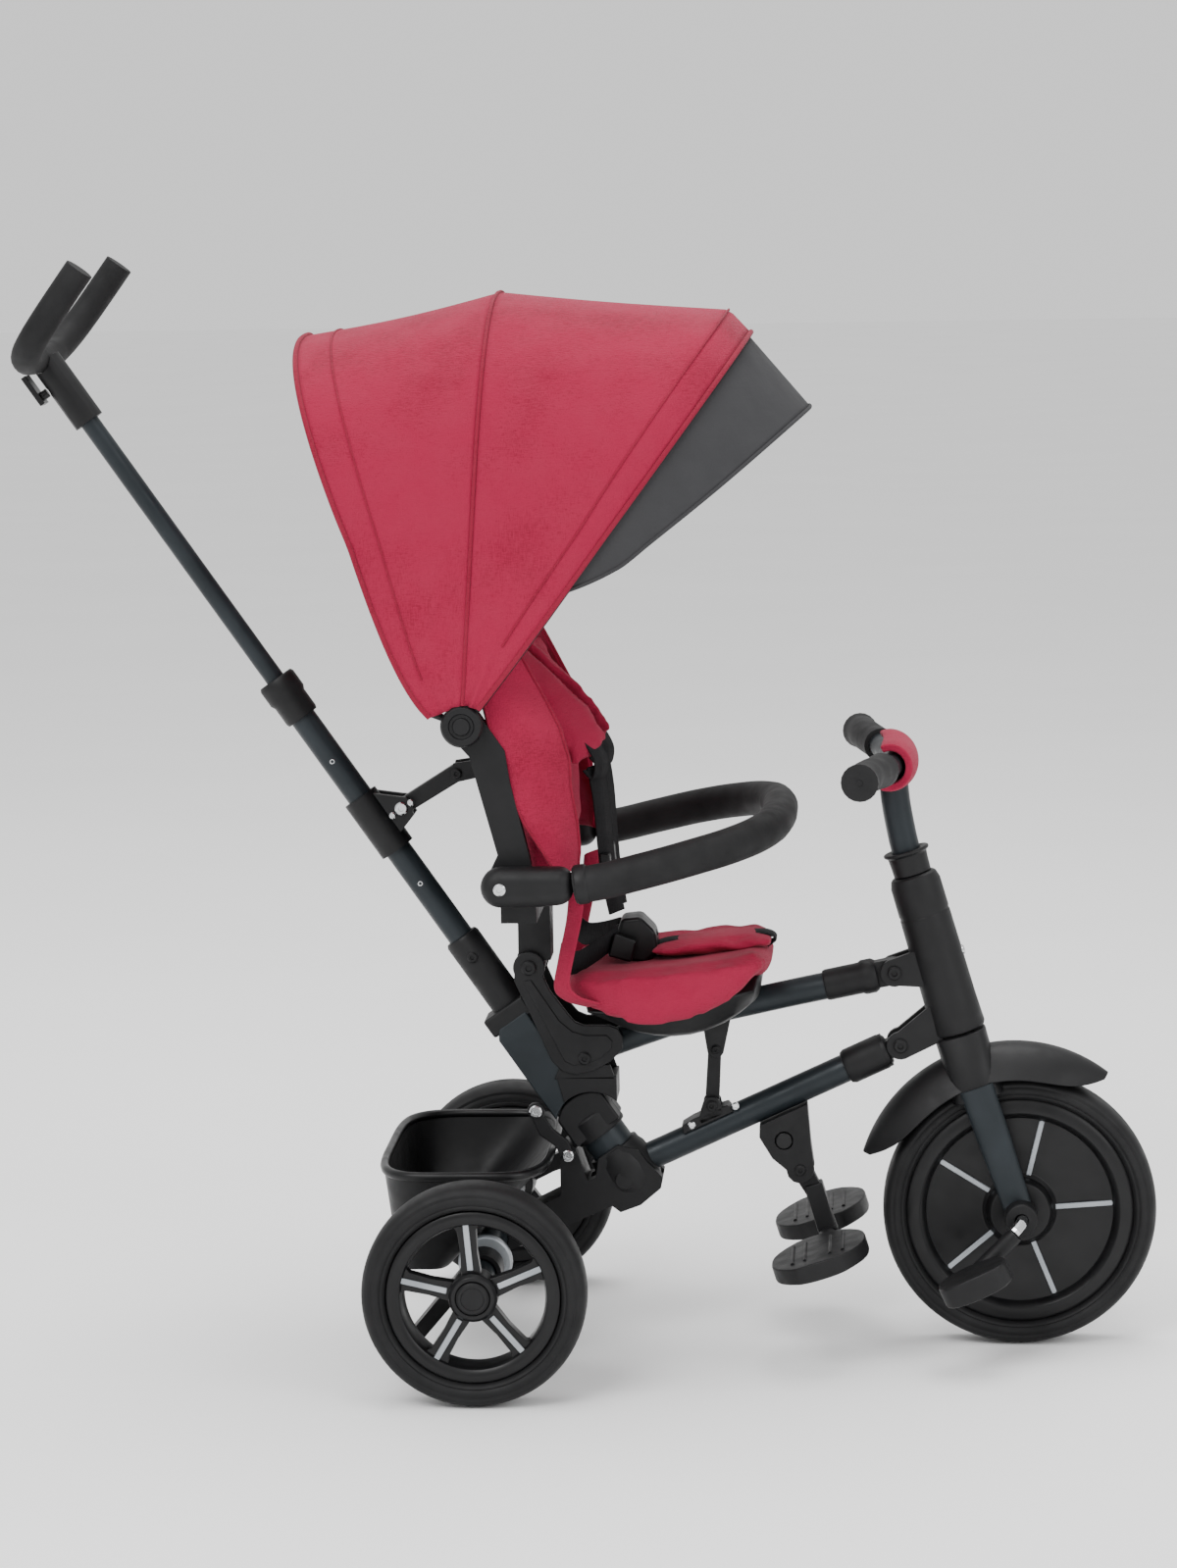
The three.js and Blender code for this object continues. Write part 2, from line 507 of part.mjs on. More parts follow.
// ---------------------------------------------------------------- seat and upper tube
const seatTop = (x) => 348 + (x - 70) * 0.2;
{
  const path = [[UPPER_REAR.x, 0, UPPER_REAR.z], [130, 0, 290], [190, 0, 309.5], [260, 0, 326], [334, 0, 341.5]];
  const channel = sweep(path, flatSection(26, 25, 5), 14);
  const eye = pin(UPPER_REAR, 12.5, -21, 21, 18);
  add('upper_tube', cut(join(channel, eye), pin(UPPER_REAR, 4.8, -30, 30)), 'tube');
  const way = Math.atan2(UPPER_FRONT.z - 341.5, UPPER_FRONT.x - 334);
  const along = (d, up) => [UPPER_FRONT.x - d * Math.cos(way) - up * Math.sin(way),
    UPPER_FRONT.z - d * Math.sin(way) + up * Math.cos(way)];
  const sleeve = slab([along(60, 15), along(14, 15), along(14, -15), along(60, -15)], -16, 16);
  const tongue = join(slab([along(20, 8), along(0, 9), along(0, -9), along(20, -8)], -8, 8),
    pin(UPPER_FRONT, 9, -8, 8));
  const eyeRoom = pin(UPPER_FRONT, 4.3, -10, 10);
  const tubeRoom = sweep(path, flatSection(26.8, 25.8, 5), 14);
  add('upper_sleeve', cut(join(sleeve, tongue), tubeRoom, eyeRoom), 'plastic');

  const pan = mould(8, 8, 1, (u, v, w) => {
    const x = 170 + u * 89 * (1 - 0.12 * v * v);
    const sag = 26 * (1 - u * u) * (1 - 0.5 * v * v);
    return [x, v * 104 * (1 - 0.15 * u * u), seatTop(x) - 24 + (w < 0 ? -5 - sag : 0)];
  });
  const lug = [-1, 1].map((s) => slab([[186, 336], [238, 336], [222, 300], [216, LINK_TOP.z - 6],
    [200, LINK_TOP.z - 6], [194, 300]], Math.min(s * 14, s * 18.5), Math.max(s * 14, s * 18.5)));
  add('seat_base', cut(join(pan, ...lug), tubeRoom, box(120, 186, -13.5, 13.5, 270, 300)), 'plastic');

  const cushion = mould(8, 8, 2, (u, v, w) => {
    const x = 171 + u * 92 * (1 - 0.1 * v ** 4);
    const edge = 1 - 0.45 * Math.max(Math.abs(u), Math.abs(v)) ** 6;
    const droop = 3 * Math.abs(v) ** 4;
    return [x, v * 122 * (1 - 0.14 * Math.abs(u) ** 3), seatTop(x) - 11.5 + w * 11 * edge - (w > 0 ? droop : 0)];
  });
  add('seat_cushion', cushion, 'red');
  const crotch = mould(8, 4, 1, (u, v, w) => {
    const x = 208 + u * 50;
    return [x, v * 38 * (1 - 0.2 * Math.abs(u) ** 3), seatTop(x) + 1 + (w + 1) * 4.5 * (1 - 0.3 * v * v)];
  });
  add('crotch_pad', crotch, 'red');
  const buckle = [[122, 366], [146, 368], [150, 390], [140, 404], [126, 400], [118, 384]];
  add('harness_buckle', slab(buckle, -21, 21), 'plastic');
}

// ---------------------------------------------------------------- lower tube, link and footrest
const LOWER = { slope: Math.atan2(LOWER_FRONT.z - ELBOW.z, LOWER_FRONT.x - ELBOW.x), r: 13 };
const onLower = (d, up = 0) => [ELBOW.x + d * Math.cos(LOWER.slope) - up * Math.sin(LOWER.slope),
  ELBOW.z + d * Math.sin(LOWER.slope) + up * Math.cos(LOWER.slope)];
const LOWER_LENGTH = Math.hypot(LOWER_FRONT.x - ELBOW.x, LOWER_FRONT.z - ELBOW.z);
{
  const at = (d) => [onLower(d)[0], 0, onLower(d)[1]];
  const tongue = join(slab([onLower(0, 9), onLower(36, 9), onLower(36, -9), onLower(0, -9)], -10, 10),
    pin(ELBOW, 10, -10, 10));
  const tube = rod(at(33), at(LOWER_LENGTH - 30), LOWER.r, 16);
  const body = rod(at(LOWER_LENGTH - 52), at(LOWER_LENGTH - 14), 16.5, 16);
  const front = join(slab([onLower(LOWER_LENGTH - 20, 8), onLower(LOWER_LENGTH, 9), onLower(LOWER_LENGTH, -9),
    onLower(LOWER_LENGTH - 20, -8)], -8, 8), pin(LOWER_FRONT, 9, -8, 8));
  const tubeRoom = rod(at(100), at(LOWER_LENGTH - 29), LOWER.r + GAP, 16);
  add('lower_sleeve', cut(join(body, front), tubeRoom, pin(LOWER_FRONT, 4.3, -10, 10)), 'plastic');

  const foot = (LINK_FOOT.x - ELBOW.x) / Math.cos(LOWER.slope);
  const saddle = slab([onLower(foot - 22, 10), onLower(foot + 22, 10), onLower(foot + 16, 14.2),
    onLower(foot - 16, 14.2)], -12.5, 12.5);
  const ears = [-1, 1].map((s) => slab([onLower(foot - 10, 12), onLower(foot + 14, 12),
    [LINK_FOOT.x + 7, LINK_FOOT.z + 4], [LINK_FOOT.x, LINK_FOOT.z + 7], [LINK_FOOT.x - 7, LINK_FOOT.z + 4]],
  Math.min(s * 8.5, s * 12.5), Math.max(s * 8.5, s * 12.5)));
  const bracket = [saddle, ...ears, pin(LINK_FOOT, 3.2, -12, 12)];
  add('lower_tube', cut(join(tongue, tube, ...bracket), pin(ELBOW, 4.8, -20, 20)), 'tube');

  const shank = slab([[LINK_FOOT.x - 6.5, LINK_FOOT.z], [LINK_FOOT.x + 6.5, LINK_FOOT.z], [LINK_TOP.x + 6, LINK_TOP.z - 8],
    [LINK_TOP.x + 5, LINK_TOP.z], [LINK_TOP.x - 5, LINK_TOP.z], [LINK_TOP.x - 6, LINK_TOP.z - 8]], -7.5, 7.5);
  add('seat_link', cut(join(shank, pin(LINK_FOOT, 6.8, -7.5, 7.5)), pin(LINK_FOOT, 4, -10, 10)), 'plastic');
}
{
  const skin = [onLower(137, -13.8), onLower(186, -13.8), [298, 190], [301, 166],
    ...circlePoints(KNEE, 13, 0, -180, 7), [262, 176], [250, 196]];
  const room = [pin(KNEE, 14, -9.5, 9.5, 20), slab([[268, 140], [330, 140], [330, 160], [302, 166], [270, 158]],
    -9.5, 9.5), pin({ x: 273, z: 193 }, 8.5, -18, -8.5)];
  add('footrest_housing', join(cut(slab(skin, -15, 15), ...room), pin(KNEE, 3.5, -13, 13)), 'plastic');
  add('footrest_button', pin({ x: 273, z: 193 }, 7.8, -17, -12.5), 'plastic');
  const leg = slab([[KNEE.x - 10, KNEE.z - 5], [KNEE.x + 10, KNEE.z + 4], [FOOT_AXLE.x + 9, FOOT_AXLE.z + 3],
    [FOOT_AXLE.x + 3, FOOT_AXLE.z - 9], [FOOT_AXLE.x - 9, FOOT_AXLE.z - 4]], -8.5, 8.5);
  const eye = pin(KNEE, 12, -9, 9, 18);
  const axle = pin(FOOT_AXLE, 6, -138, 138);
  add('footrest_leg', cut(join(leg, eye, axle), pin(KNEE, 4.3, -20, 20)), 'plastic');
  for (const [word, s] of [['right', -1], ['left', 1]]) {
    const plate = mould(8, 6, 1, (u, v, w) => {
      const length = 43 * Math.sqrt(1 - 0.45 * v * v);
      const [a, b] = [u * length, w * 8.5];
      const tilt = 0.3;
      return [FOOT_AXLE.x - 6 + a * Math.cos(tilt) - b * Math.sin(tilt), s * 88 + v * 56,
        FOOT_AXLE.z - 1 + a * Math.sin(tilt) + b * Math.cos(tilt)];
    });
    add(`foot_plate_${word}`, cut(plate, pin(FOOT_AXLE, 6.8, Math.min(s * 5, s * 140), Math.max(s * 5, s * 140))),
      'plastic');
  }
}

// ---------------------------------------------------------------- fold latch and brake
{
  const link = slab([[LATCH_TOP.x - 5, LATCH_TOP.z - 4], [LATCH_TOP.x + 6, LATCH_TOP.z - 2],
    [58, 208], [72, 197], [LATCH_FOOT.x + 6, LATCH_FOOT.z], [LATCH_FOOT.x - 6, LATCH_FOOT.z - 2], [60, 192],
    [46, 202]], -32, -26);
  add('fold_latch', join(link, pin(LATCH_TOP, 8, -32, -26), pin(LATCH_FOOT, 7, -32, -26)), 'plastic');
  const at = { x: 0, z: REAR.radius };
  const eye = pin(at, 19, -162, -128, 20);
  const lever = slab([[-10, 92], [-58, 36], [-66, 38], [-66, 46], [-18, 104]], -160, -130);
  add('brake_pedal', cut(join(eye, lever), pin(at, AXLE.beam + 2 * GAP, -170, -120, 20)), 'plastic');
}

// ---------------------------------------------------------------- head and steering
const STEM = { r: 12.5, bore: 14.5 };
{
  const casing = pipe(onHead(0), onHead(HEAD.length), HEAD.r, STEM.bore, 20);
  const pieces = [casing];
  for (const [pivot, root] of [[UPPER_FRONT, 66], [LOWER_FRONT, 16]]) {
    const [top, low] = [flat(onHead(root + 15, 0, -HEAD.r + 4)), flat(onHead(root - 13, 0, -HEAD.r + 4))];
    for (const s of [-1, 1]) {
      pieces.push(slab([...circlePoints(pivot, 10.5, 110, 290, 7), low, top], Math.min(s * 8.6, s * 14),
        Math.max(s * 8.6, s * 14)));
    }
    pieces.push(pin(pivot, 3.5, -12, 12));
  }
  const room = rod(onHead(-5), onHead(HEAD.length + 5), STEM.bore, 20);
  add('head_tube', cut(join(...pieces), room), 'plastic');

  const collar = rod(onHead(HEAD.length + GAP), onHead(HEAD.length + 21), 17, 18, 21);
  const bar = [[348, -181, 553], [353, -150, 553], [366, -90, 551], [376, -40, 549], [378, 0, 549],
    [376, 40, 549], [366, 90, 551], [353, 150, 553], [348, 181, 553]];
  const stem = sweep([onHead(-2), onHead(60), onHead(120), onHead(172), [382, 0, 490], [377.5, 0, 522],
    [378, 0, 549]], roundSection(STEM.r, 12), 14);
  add('handlebar', join(stem, collar, sweep(bar, roundSection(11.5, 12), 12)), 'tube');
  for (const [word, s] of [['right', -1], ['left', 1]]) {
    const path = [[345.7, 192, 553.2], [348, 181, 553], [353, 150, 553], [362, 112, 551.6], [366, 94, 551]];
    const grip = sweep(path.map(([x, y, z]) => [x, s * y, z]), roundSection(16, 12), 5);
    const room = sweep(bar, roundSection(11.5 + 2 * GAP, 12), 12);
    add(`grip_${word}`, cut(grip, room), 'foam');
  }
  const wrap = sweep([[372, -58, 549.6], [376, -30, 549], [377, 0, 549], [376, 30, 549], [372, 58, 549.6]],
    roundSection(18.5, 12), 6);
  const barRoom = sweep(bar, roundSection(11.5 + 2 * GAP, 12), 12);
  const stemRoom = rod([383, 0, 470], [378, 0, 560], STEM.r + 3, 14);
  add('handlebar_pad', cut(wrap, barRoom, stemRoom), 'red');
}
// The mudguard's shell; the crown's core passes through it.
const guardShell = (grow, wider = 0) => mould(14, 6, 1, (u, v, w) => {
  const a = THREE.MathUtils.degToRad(THREE.MathUtils.lerp(160, 57, (u + 1) / 2));
  const point = 1 - 0.75 * Math.abs(u) ** 7;
  const droop = 29 * Math.abs(v) ** 2.4 * point + 5 * u * u * (u > 0 ? 1 : 0);
  const r = FRONT.radius + 28 - droop + (w < 0 ? -grow : 3 + grow);
  return [FRONT.x + r * Math.cos(a), v * (38 + wider) * point, FRONT.radius + r * Math.sin(a)];
});
const crownCore = (grow) => rod(onHead(-60), onHead(2), 16 + grow, 16);
{
  const crown = mould(2, 4, 3, (u, v, w) => {
    const t = (w + 1) / 2;
    const depth = THREE.MathUtils.lerp(16, 20, t);
    const width = THREE.MathUtils.lerp(43, 20, t ** 1.6);
    const corner = 1 - 0.22 * (u * v) ** 2;
    return onHead(THREE.MathUtils.lerp(-56, -2.6, t), v * width * corner, u * depth * corner);
  });
  const wheelRoom = pin({ x: FRONT.x, z: FRONT.radius }, FRONT.radius + 5, -31, 31, 40);
  const pieces = [cut(crown, wheelRoom)];
  const legTop = onHead(-56);
  const way = Math.atan2(FRONT.radius - legTop[2], FRONT.x - legTop[0]);
  const side = (d, across) => [legTop[0] + d * Math.cos(way) - across * Math.sin(way),
    legTop[2] + d * Math.sin(way) + across * Math.cos(way)];
  const length = Math.hypot(FRONT.radius - legTop[2], FRONT.x - legTop[0]);
  for (const s of [-1, 1]) {
    const span = (a, b) => [Math.min(s * a, s * b), Math.max(s * a, s * b)];
    const leg = slab([side(-12, -13), side(length, -13), side(length + 12, -7), side(length + 12, 7),
      side(length, 13), side(-12, 13)], ...span(31, 41));
    const boss = pin({ x: FRONT.x, z: FRONT.radius }, 15.5, ...span(36, 60), 18);
    const room = pin({ x: FRONT.x, z: FRONT.radius }, 7, ...span(25, 70));
    pieces.push(cut(join(leg, boss), room));
  }
  const slots = [0, 1.5].map((wider) => cut(guardShell(1, wider), crownCore(0)));
  add('fork', cut(join(...pieces), ...slots), 'tube');
  add('mudguard', cut(guardShell(0), crownCore(GAP)), 'plastic');
}

// ---------------------------------------------------------------- crank and pedals
{
  const d = [Math.cos(CRANK.angle), Math.sin(CRANK.angle)];
  const at = (reach, y) => [FRONT.x + reach * d[0], y, FRONT.radius + reach * d[1]];
  const half = [[1, -142], [1, -112], [1, -92], [0.93, -85], [0.5, -79], [0.07, -73], [0, -66], [0, -30]];
  const bend = [...half, ...half.map(([reach, y]) => [-reach, -y]).reverse()];
  const path = bend.map(([reach, y]) => at(reach * CRANK.throw, y));
  add('crank', sweep(path, roundSection(CRANK.r, 10), 48), 'steel');
  for (const [word, s] of [['right', -1], ['left', 1]]) {
    const centre = at(-s * CRANK.throw, 0);
    const tilt = 0.42;
    const pedal = mould(6, 4, 1, (u, v, w) => {
      const [a, b] = [u * 33 * Math.sqrt(1 - 0.35 * v * v), w * 11];
      return [centre[0] + a * Math.cos(tilt) - b * Math.sin(tilt), s * 118 + v * 26,
        centre[2] + a * Math.sin(tilt) + b * Math.cos(tilt)];
    });
    const room = pin({ x: centre[0], z: centre[2] }, 6.4, Math.min(s * 80, s * 160), Math.max(s * 80, s * 160));
    add(`pedal_${word}`, cut(pedal, room), 'plastic');
  }
}

export default tricycle;
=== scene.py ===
"""Looks of the children's tricycle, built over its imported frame.

Blender works in metres, with +X forward and +Z up. Sizes here are in millimetres from the rear axle and the ground.
"""

import json
import math

import bmesh
import bpy
from mathutils import Matrix, Vector


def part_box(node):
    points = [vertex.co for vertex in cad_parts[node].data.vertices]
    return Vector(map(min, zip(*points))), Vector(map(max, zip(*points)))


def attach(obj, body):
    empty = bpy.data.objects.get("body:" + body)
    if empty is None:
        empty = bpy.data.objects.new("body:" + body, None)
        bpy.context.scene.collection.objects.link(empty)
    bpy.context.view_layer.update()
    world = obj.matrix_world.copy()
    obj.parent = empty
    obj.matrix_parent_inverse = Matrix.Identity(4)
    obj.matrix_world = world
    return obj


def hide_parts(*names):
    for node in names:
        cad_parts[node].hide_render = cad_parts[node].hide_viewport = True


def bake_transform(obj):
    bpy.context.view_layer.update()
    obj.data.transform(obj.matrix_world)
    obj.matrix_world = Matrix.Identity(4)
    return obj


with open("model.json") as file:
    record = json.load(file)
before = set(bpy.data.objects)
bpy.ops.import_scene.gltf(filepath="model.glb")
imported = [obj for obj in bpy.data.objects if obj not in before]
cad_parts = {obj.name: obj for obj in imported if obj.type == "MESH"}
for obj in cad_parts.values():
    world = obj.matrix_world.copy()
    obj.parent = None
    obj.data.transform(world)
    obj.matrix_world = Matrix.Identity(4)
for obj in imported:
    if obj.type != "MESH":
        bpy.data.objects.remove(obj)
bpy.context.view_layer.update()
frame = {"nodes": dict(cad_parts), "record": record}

MM = 0.001
axle_low, axle_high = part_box("rear_axle")
AXLE_X = (axle_low.x + axle_high.x) / 2
BODY_OF = {node: body for body, nodes in frame["record"]["behaviour"]["bodies"].items() for node in nodes}
ACROSS = Vector((0, 1, 0))
SIDES = (("right", -1), ("left", 1))
MERGE = 1e-6  # metres: points nearer than this are one point

# Pins that turn across the tricycle, as (x, z).
FOLD_PIN = (94.1, 206)
UPPER_REAR_PIN = (88.8, 274.7)
UPPER_FRONT_PIN = (376.7, 351.2)
LOWER_FRONT_PIN = (382, 282.5)
LINK_FOOT_PIN = (206, 226)
LINK_TOP_PIN = (210, 279)
FOOTREST_PIN = (288, 165)
RECLINE_PIN = (38.2, 360)
CLAMP_PIN = (-79, 508.5)
LUG_PIN = (-27, 540.5)
ARM_PIN = (26, 460)
HUB = (-7, 604)  # the canopy's bows


def at(x, z, y=0.0):
    """A place given in millimetres ahead of the rear axle, above the ground and to the left."""
    return Vector((AXLE_X + x * MM, y * MM, z * MM))


def flat(place):
    """A place's (x, z), in the millimetres that at() takes."""
    return (place.x - AXLE_X) / MM, place.z / MM


# ---- materials
def graph(name):
    material = bpy.data.materials.new(name)
    material.use_nodes = True
    nodes, links = material.node_tree.nodes, material.node_tree.links
    return material, nodes, links, nodes["Principled BSDF"]


def noise(nodes, links, scale, stretch=(1, 1, 1), detail=4.0):
    place = nodes.new("ShaderNodeTexCoord")
    fit = nodes.new("ShaderNodeMapping")
    fit.inputs["Scale"].default_value = stretch
    texture = nodes.new("ShaderNodeTexNoise")
    texture.inputs["Scale"].default_value = scale
    texture.inputs["Detail"].default_value = detail
    links.new(place.outputs["Object"], fit.inputs["Vector"])
    links.new(fit.outputs["Vector"], texture.inputs["Vector"])
    return texture.outputs["Fac"]


def spread(nodes, links, source, low, high, dark=0.35, bright=0.65):
    """Maps a pattern to a range: two colours, or two numbers."""
    if isinstance(low, tuple):
        ramp = nodes.new("ShaderNodeValToRGB")
        for stop, position, colour in zip(ramp.color_ramp.elements, (dark, bright), (low, high)):
            stop.position = position
            stop.color = (*colour, 1)
        links.new(source, ramp.inputs["Fac"])
        return ramp.outputs["Color"]
    ranged = nodes.new("ShaderNodeMapRange")
    for socket, value in zip(("From Min", "From Max", "To Min", "To Max"), (dark, bright, low, high)):
        ranged.inputs[socket].default_value = value
    links.new(source, ranged.inputs["Value"])
    return ranged.outputs["Result"]


def bumped(nodes, links, shader, height, distance, strength):
    bump = nodes.new("ShaderNodeBump")
    bump.inputs["Strength"].default_value = strength
    bump.inputs["Distance"].default_value = distance
    links.new(height, bump.inputs["Height"])
    links.new(bump.outputs["Normal"], shader.inputs["Normal"])


def moulded(name, dark, light, rough, grain_scale=1400, grain=0.25, metal=0.0):
    material, nodes, links, shader = graph(name)
    drift = noise(nodes, links, 18)
    links.new(spread(nodes, links, drift, dark, light), shader.inputs["Base Color"])
    links.new(spread(nodes, links, noise(nodes, links, 60), rough - 0.06, rough + 0.06), shader.inputs["Roughness"])
    shader.inputs["Metallic"].default_value = metal
    shader.inputs["Specular IOR Level"].default_value = 0.27
    bumped(nodes, links, shader, noise(nodes, links, grain_scale, detail=2.0), 0.0003, grain)
    return material


def combined(nodes, links, operation, *values):
    node = nodes.new("ShaderNodeMath")
    node.operation = operation
    for socket, value in zip(node.inputs, values):
        if isinstance(value, float):
            socket.default_value = value
        else:
            links.new(value, socket)
    return node.outputs[0]


def woven(name, dark, light, thread=1500, streak=0.5, sheen=0.06, crease=0.5):
    """Cloth: crossing threads as fine bump and colour, with soft creases."""
    material, nodes, links, shader = graph(name)
    warp = noise(nodes, links, thread, (1, 1, 0.12), 1.0)
    weft = noise(nodes, links, thread, (0.12, 0.12, 1), 1.0)
    threads = combined(nodes, links, "ADD", warp, weft)
    slow = combined(nodes, links, "MULTIPLY_ADD", threads, streak, noise(nodes, links, 9))
    links.new(spread(nodes, links, slow, dark, light, 0.75, 1.25), shader.inputs["Base Color"])
    links.new(spread(nodes, links, noise(nodes, links, 40), 0.82, 0.95), shader.inputs["Roughness"])
    shader.inputs["Specular IOR Level"].default_value = 0.2
    shader.inputs["Sheen Weight"].default_value = sheen
    shader.inputs["Sheen Roughness"].default_value = 0.5
    rolling = noise(nodes, links, 16, (1, 1, 0.6), 2.0)
    folds = combined(nodes, links, "MULTIPLY_ADD", rolling, 6.0, threads)
    bumped(nodes, links, shader, folds, 0.0011, crease)
    return material


MATTE = moulded("black moulding", (0.0035, 0.0035, 0.004), (0.006, 0.006, 0.0066), 0.5)
GLOSS = moulded("smooth moulding", (0.003, 0.003, 0.0034), (0.005, 0.005, 0.0055), 0.36, grain=0.05)
TUBE = moulded("grey-blue paint", (0.014, 0.018, 0.021), (0.019, 0.024, 0.028), 0.4, 2600, 0.08, metal=0.3)
TREAD = moulded("foam tyre", (0.0035, 0.0035, 0.004), (0.0065, 0.0065, 0.007), 0.6, 700, 0.3)
FOAM = moulded("foam sleeve", (0.0045, 0.0045, 0.005), (0.009, 0.009, 0.0095), 0.7, 520, 0.5)
SILVER = moulded("silver inlay", (0.27, 0.29, 0.31), (0.36, 0.38, 0.40), 0.34, 2000, 0.08, metal=0.6)
STEEL = moulded("bright plating", (0.55, 0.56, 0.57), (0.68, 0.69, 0.70), 0.2, 900, 0.05, metal=1.0)
CRIMSON = woven("crimson cloth", (0.20, 0.0055, 0.024), (0.29, 0.011, 0.042))
BINDING = woven("crimson binding", (0.16, 0.0045, 0.019), (0.22, 0.008, 0.029), 900)
MELANGE = woven("grey melange cloth", (0.006, 0.006, 0.0065), (0.036, 0.036, 0.038), 330, 2.2, 0.0, 0.2)
WEBBING = woven("black webbing", (0.004, 0.004, 0.0045), (0.010, 0.010, 0.011), 500, 0.8, 0.0, 0.5)


# ---- making pieces
def shown(name, data):
    thing = bpy.data.objects.new(name, data)
    bpy.context.collection.objects.link(thing)
    return thing


def centre_of(node):
    low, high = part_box(node)
    return (low + high) / 2


def piece(name, made, body, material, replaced=(), bevel=0.0, angle=35, segments=2, thickness=0.0, smooth=0):
    """Turns a bmesh or a mesh into a finished object that rides on a body."""
    if isinstance(made, bmesh.types.BMesh):
        bmesh.ops.remove_doubles(made, verts=made.verts, dist=MERGE)
        bmesh.ops.recalc_face_normals(made, faces=made.faces)
        mesh = bpy.data.meshes.new(name)
        made.to_mesh(mesh)
        made.free()
    else:
        mesh = made
    mesh.name = name
    mesh.materials.clear()
    mesh.materials.append(material)
    mesh.polygons.foreach_set("use_smooth", [True] * len(mesh.polygons))
    mesh.set_sharp_from_angle(angle=math.radians(angle))
    thing = shown(name, mesh)
    if thickness:
        wall = thing.modifiers.new("wall", "SOLIDIFY")
        wall.thickness = thickness * MM
        wall.offset = -1
    if bevel:
        edge = thing.modifiers.new("edges", "BEVEL")
        edge.width = bevel * MM
        edge.segments = segments
        edge.limit_method = "ANGLE"
        edge.angle_limit = math.radians(angle)
        edge.use_clamp_overlap = True
        edge.harden_normals = True
    if smooth:
        soft = thing.modifiers.new("smooth", "SUBSURF")
        soft.levels = soft.render_levels = smooth
    if body:
        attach(thing, body)
    if replaced:
        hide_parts(*replaced)
    return thing


def turned(bm, profile, centre, axis=ACROSS, steps=64):
    """Spins a profile of (radius, distance along the axis), in millimetres."""
    axis = Vector(axis).normalized()
    side = axis.orthogonal().normalized()
    closed = profile[0] == profile[-1]
    points = profile[:-1] if closed else profile
    verts = [bm.verts.new(centre + side * (r * MM) + axis * (h * MM)) for r, h in points]
    pairs = list(zip(verts, verts[1:])) + ([(verts[-1], verts[0])] if closed else [])
    edges = [bm.edges.new(pair) for pair in pairs]
    bmesh.ops.spin(bm, geom=verts + edges, cent=centre, axis=axis, angle=2 * math.pi, steps=steps, use_merge=True)
    bmesh.ops.remove_doubles(bm, verts=bm.verts, dist=MERGE)
    return bm


def thickened(bm, face, move):
    """Makes a face into a solid as deep as move."""
    grown = bmesh.ops.extrude_face_region(bm, geom=[face])["geom"]
    bmesh.ops.translate(bm, verts=[g for g in grown if isinstance(g, bmesh.types.BMVert)], vec=move)


def slab(bm, outline, y0, y1):
    """Extrudes an outline of (x, z) points, in millimetres, from y0 to y1."""
    face = bm.faces.new([bm.verts.new(at(x, z, y0)) for x, z in outline])
    thickened(bm, face, (0, (y1 - y0) * MM, 0))
    return bm


def arc(x, z, r, start, end, count):
    """Points (x, z) round a centre, between two angles in degrees."""
    steps = [math.radians(start + (end - start) * i / (count - 1)) for i in range(count)]
    return [(x + r * math.cos(a), z + r * math.sin(a)) for a in steps]


def sheet_of(nu, nv, shape):
    """A grid whose points are put in place by shape(u, v), each from -1 to 1."""
    bm = bmesh.new()
    made = bmesh.ops.create_grid(bm, x_segments=nu, y_segments=nv, size=1)
    for vert in made["verts"]:
        vert.co = shape(vert.co.x, vert.co.y)
    return bm


def block_of(cuts, shape):
    """A finely cut block whose points are put in place by shape(u, v, w)."""
    bm = bmesh.new()
    bmesh.ops.create_cube(bm, size=2)
    bmesh.ops.subdivide_edges(bm, edges=bm.edges[:], cuts=cuts, use_grid_fill=True)
    for vert in bm.verts:
        vert.co = shape(*vert.co)
    return bm


def tube_through(points, radius, corners=8, widths=None, fine=10):
    """A round tube along a smooth path, as a mesh."""
    curve = bpy.data.curves.new("path", "CURVE")
    curve.dimensions = "3D"
    curve.bevel_depth = radius * MM
    curve.bevel_resolution = corners
    curve.resolution_u = fine
    curve.use_fill_caps = True
    spline = curve.splines.new("BEZIER")
    spline.bezier_points.add(len(points) - 1)
    for i, (knot, point) in enumerate(zip(spline.bezier_points, points)):
        knot.co = point
        knot.handle_left_type = knot.handle_right_type = "AUTO"
        knot.radius = widths[i] if widths else 1.0
    holder = shown("path", curve)
    mesh = bpy.data.meshes.new_from_object(holder.evaluated_get(bpy.context.evaluated_depsgraph_get()))
    bpy.data.objects.remove(holder)
    bpy.data.curves.remove(curve)
    bm = bmesh.new()
    bm.from_mesh(mesh)
    bpy.data.meshes.remove(mesh)
    return bm


def ribbon(points, side, width):
    """A flat strap through points, laid across the direction side."""
    count = 8 * (len(points) - 1)
    path = [Vector(p) for p in points]

    def along(t):
        i = min(int(t * (len(path) - 1)), len(path) - 2)
        f = t * (len(path) - 1) - i
        p0, p1 = path[max(i - 1, 0)], path[i]
        p2, p3 = path[i + 1], path[min(i + 2, len(path) - 1)]
        return 0.5 * ((2 * p1) + (p2 - p0) * f + (2 * p0 - 5 * p1 + 4 * p2 - p3) * f * f
                      + (3 * p1 - p0 - 3 * p2 + p3) * f ** 3)

    across = Vector(side).normalized()
    return sheet_of(count, 2, lambda u, v: along((u + 1) / 2) + across * (v * width / 2 * MM))


